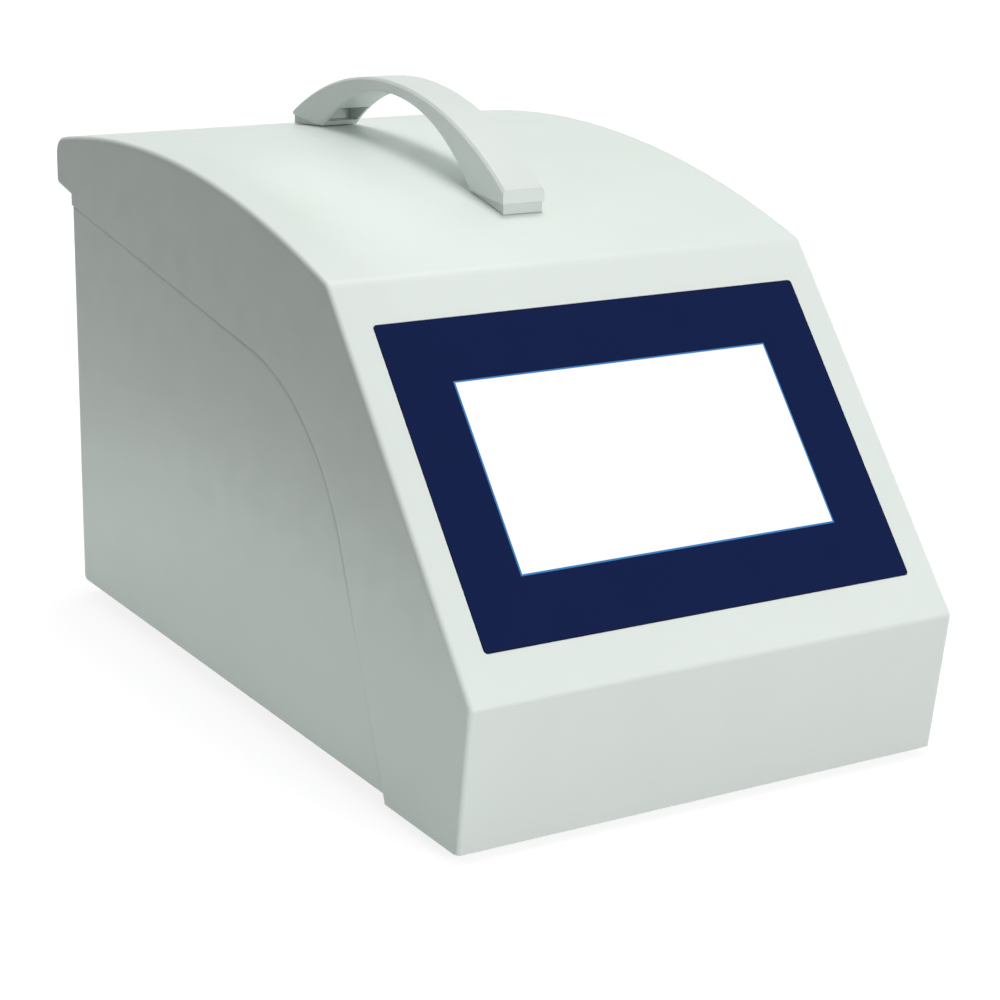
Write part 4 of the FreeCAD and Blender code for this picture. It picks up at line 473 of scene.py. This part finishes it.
def cover_outline():
    """Side outline of the cover, Y and Z: undercut front, fold, slant, brow, crowned top, lip, down to its throat."""
    slant = math.radians(SLANT_DEGREES)
    bottom = np.array([FOLD_Y + FRONT_UNDERCUT, SKIRT_BOTTOM])
    fold = np.array([FOLD_Y, FOLD_Z])
    brow = fold + SLANT_LENGTH * np.array([math.cos(slant), math.sin(slant)])
    crown_y = brow[0] + CROWN_SETBACK
    radius = (CROWN_SETBACK ** 2 + CROWN_RISE ** 2) / (2 * CROWN_RISE)
    centre = np.array([crown_y, brow[1] + CROWN_RISE - radius])
    along = np.linspace(brow[0] + BROW_ROUND, LIP_REAR_Y - LIP_TOP_ROUND + 0.5, 60)
    top = np.stack([along, centre[1] + np.sqrt(radius ** 2 - (along - crown_y) ** 2)], axis=1)
    rear_top = np.array([LIP_REAR_Y, centre[1] + math.sqrt(radius ** 2 - (LIP_REAR_Y - crown_y) ** 2)])
    lip = rear_top - (0, LIP_HEIGHT)
    throat = np.array([THROAT_Y, lip[1] - LIP_UNDERSIDE_DROP])
    return np.concatenate([
        bottom[None],
        corner_round(bottom, fold, brow, FOLD_ROUND),
        corner_round(fold, brow, top[0], BROW_ROUND),
        top,
        corner_round(top[-1], rear_top, lip, LIP_TOP_ROUND),
        corner_round(rear_top, lip, throat, LIP_LOWER_ROUND),
        throat[None],
    ])


def both_sides(name, rings_on):
    """One piece of case plastic with a closed part on each side; rings_on gives the stack of rings of side -1 or 1."""
    points = []
    faces = []
    for side in (-1, 1):
        own, own_faces = stacked(rings_on(side), [(0.0, 0.0, 0.0)])
        shift = sum(len(part) for part in points)
        points.append(own)
        faces += [[corner + shift for corner in face] for face in own_faces]
    mesh_piece(name, np.concatenate(points), faces, case_plastic, "case")


def cover_edges():
    """Beads on the cover's bevelled long edges: a quarter round, flush with both faces, led along the outline."""
    path = cover_outline()
    ahead = np.gradient(path, axis=0)
    ahead /= np.linalg.norm(ahead, axis=1)[:, None]
    inward = np.stack([ahead[:, 1], -ahead[:, 0]], axis=1)
    turn = np.linspace(0, math.pi / 2, 7)
    across = np.concatenate([[0.0], EDGE_ROUND * (1 - np.cos(turn)), [EDGE_BEVEL, EDGE_BEVEL - 0.1, 0.1]])
    deep = np.concatenate([[EDGE_BEVEL], EDGE_ROUND * (1 - np.sin(turn)), [0.0, 0.25, EDGE_BEVEL]])
    places = path[:, None, :] + inward[:, None, :] * deep[None, :, None]

    def bead(side):
        x = np.broadcast_to(side * (HALF_WIDTH - across), places.shape[:2])
        return np.concatenate([x[..., None], places], axis=2)

    both_sides("cover_edge_rounds", bead)


def seam_outline():
    """Outline of the base's side, Y and Z: down the seam's slope, round its bend, down the leg, back at the bottom."""
    slope = math.radians(SEAM_SLOPE)
    leg = math.radians(SEAM_LEG)
    run = np.array([math.cos(slope), math.sin(slope)])
    rise = np.array([math.cos(leg), math.sin(leg)])
    rear = np.array([FRAME_FACE, SEAM_REAR_Z]) + SEAM_GAP * np.array([math.sin(slope), -math.cos(slope)])
    foot = np.array([SEAM_FOOT_Y, SKIRT_BOTTOM]) + SEAM_GAP * np.array([math.sin(leg), -math.cos(leg)])
    along = np.linalg.solve(np.stack([rise, -run], axis=1), rear - foot)
    corner = foot + rise * along[0]
    start = rear + run * (SIDE_REAR_Y - FRAME_FACE)
    end = foot + rise * ((SIDE_BOTTOM - foot[1]) / rise[1])
    bend = corner_round(start, corner, end, SEAM_RADIUS, 32)
    heel = corner_round(end, (SIDE_REAR_Y, SIDE_BOTTOM), start, SIDE_HEEL_ROUND, 9)
    return np.concatenate([start[None], bend, end[None], heel])


def base_sides():
    """The base's outer sides, flush with the cover: the outline in layers that draw in along an oval round."""
    outline = seam_outline()
    ahead = np.roll(outline, -1, axis=0) - outline
    ahead /= np.linalg.norm(ahead, axis=1)[:, None]
    square = np.stack([-ahead[:, 1], ahead[:, 0]], axis=1)
    before = np.roll(square, 1, axis=0)
    inward = (square + before) / (1 + (square * before).sum(axis=1))[:, None]
    turn = np.linspace(0, math.pi / 2, 7)
    insets = [0.0, *(SIDE_ROUND_WIDTH * (1 - np.cos(turn)))]
    depths = [SIDE_FACE - SIDE_SKIN, *(SIDE_FACE - SIDE_ROUND_DEPTH * (1 - np.sin(turn)))]

    def skin(side):
        return np.stack([np.column_stack([np.full(len(outline), side * x), outline + inward * inset])
                         for inset, x in zip(insets, depths)])

    both_sides("base_side_faces", skin)


cover_edges()
base_sides()


# Studio
def looking(place, towards, up):
    """The pose of a lamp or camera at place that looks along towards."""
    back = -np.asarray(towards, float)
    back /= np.linalg.norm(back)
    right = np.cross(up, back)
    right /= np.linalg.norm(right)
    pose = np.eye(4)
    pose[:3, 0] = right
    pose[:3, 1] = np.cross(back, right)
    pose[:3, 2] = back
    pose[:3, 3] = place
    return Matrix(pose.tolist())


def lamp(name, width, depth, energy, place, aim, tint):
    """A rectangular soft lamp at place that faces aim, both in metres; the camera doesn't see it."""
    light = bpy.data.lights.new(name, "AREA")
    light.shape = "RECTANGLE"
    light.size = width
    light.size_y = depth
    light.energy = energy
    light.color = linear(tint)[:3]
    holder = bpy.data.objects.new(name, light)
    holder.visible_camera = False
    bpy.context.scene.collection.objects.link(holder)
    holder.matrix_world = looking(place, np.array(aim) - np.array(place), (0.0, 0.0, 1.0))


def paper_floor():
    """White paper: close to the object it shows the soft shadow, further off it glows evenly to white."""
    points = np.array([(-9000, -9000, 0), (9000, -9000, 0), (9000, 9000, 0), (-9000, 9000, 0)])
    mesh = bpy.data.meshes.new("studio_floor")
    mesh.from_pydata((points * MM).tolist(), [], [(0, 1, 2, 3)])
    floor = bpy.data.objects.new("studio_floor", mesh)
    bpy.context.scene.collection.objects.link(floor)
    material, tree, where = new_material("white_paper_floor")
    reach = node(tree, "VectorMath", {0: where}, operation="LENGTH")
    far = node(tree, "MapRange", {"Value": reach, "From Min": 350.0, "From Max": 1100.0, "To Min": 0.84,
                                  "To Max": 0.95}, interpolation_type="SMOOTHSTEP")
    glow = node(tree, "Math", {0: background_rays(tree), 1: far}, operation="MULTIPLY")
    paper = node(tree, "BsdfDiffuse", {"Color": mottled(tree, where, 400.0, "8E908E", "929492")})
    white = node(tree, "Emission", {"Color": mottled(tree, where, 300.0, "FDFDFD", "FFFFFF"), "Strength": glow})
    node(tree, "OutputMaterial", {"Surface": node(tree, "AddShader", {0: paper, 1: white})})
    mesh.materials.append(material)


def surround():
    """White room to look at; as a light it is dim on the left, brighter on the right, behind and above."""
    world = bpy.data.worlds.new("white_surround")
    bpy.context.scene.world = world
    world.use_nodes = True
    tree = world.node_tree
    tree.nodes.clear()
    axes = node(tree, "SeparateXYZ", {0: node(tree, "TexCoord").outputs["Generated"]})
    side, rear, above = (
        node(tree, "MapRange", {"Value": axes.outputs[axis], "From Min": start, "From Max": end, "To Min": low,
                                "To Max": high}, interpolation_type=kind)
        for axis, start, end, low, high, kind in (("X", -0.5, 0.9, 0.07, 0.3, "SMOOTHSTEP"),
                                                  ("Y", 0.0, 1.0, 0.0, 0.25, "LINEAR"),
                                                  ("Z", 0.0, 1.0, 0.0, 0.24, "LINEAR"))
    )
    level = node(tree, "Math", {0: side, 1: rear}, operation="ADD")
    around = node(tree, "Math", {0: level, 1: above}, operation="ADD")
    strength = node(tree, "Math", {0: background_rays(tree), 1: around}, operation="MAXIMUM")
    room = node(tree, "Background", {"Color": linear("FAFFFB"), "Strength": strength})
    node(tree, "OutputWorld", {"Surface": room})


def studio():
    """Softboxes high on the right behind and in front, a low strip for the left side, a small lamp by the handle."""
    paper_floor()
    surround()
    lamp("lamp_overhead", 0.65, 0.65, 13.2, (0.24, 0.3, 1.85), (0.0, 0.0, 0.1), "FFFCFD")
    lamp("lamp_front", 0.7, 0.6, 15.3, (0.14, -1.65, 0.54), (0.0, -0.05, 0.12), "FFFCFD")
    lamp("lamp_low_left", 0.8, 0.04, 0.15, (-0.24, -0.02, 0.02), (-0.118, -0.02, 0.02), "F8FFFC")
    lamp("lamp_by_handle", 0.14, 0.03, 0.028, (-0.108, -0.04, 0.29), (0.0, -0.04, 0.30), "FFFFFF")


def camera():
    """The photo's view: from the front left, a little above, with the long lens that its lines converge to."""
    data = bpy.data.cameras.new("photo_camera")
    data.sensor_width = 36.0
    data.lens = CAMERA_LENS
    data.clip_end = 100.0
    holder = bpy.data.objects.new("photo_camera", data)
    bpy.context.scene.collection.objects.link(holder)
    level = looking(CAMERA_PLACE, CAMERA_FORWARD, (0.0, 0.0, 1.0))
    holder.matrix_world = level @ Matrix.Rotation(math.radians(CAMERA_ROLL), 4, "Z")
    bpy.context.scene.camera = holder


studio()
camera()
bpy.context.scene.view_settings.view_transform = "Standard"
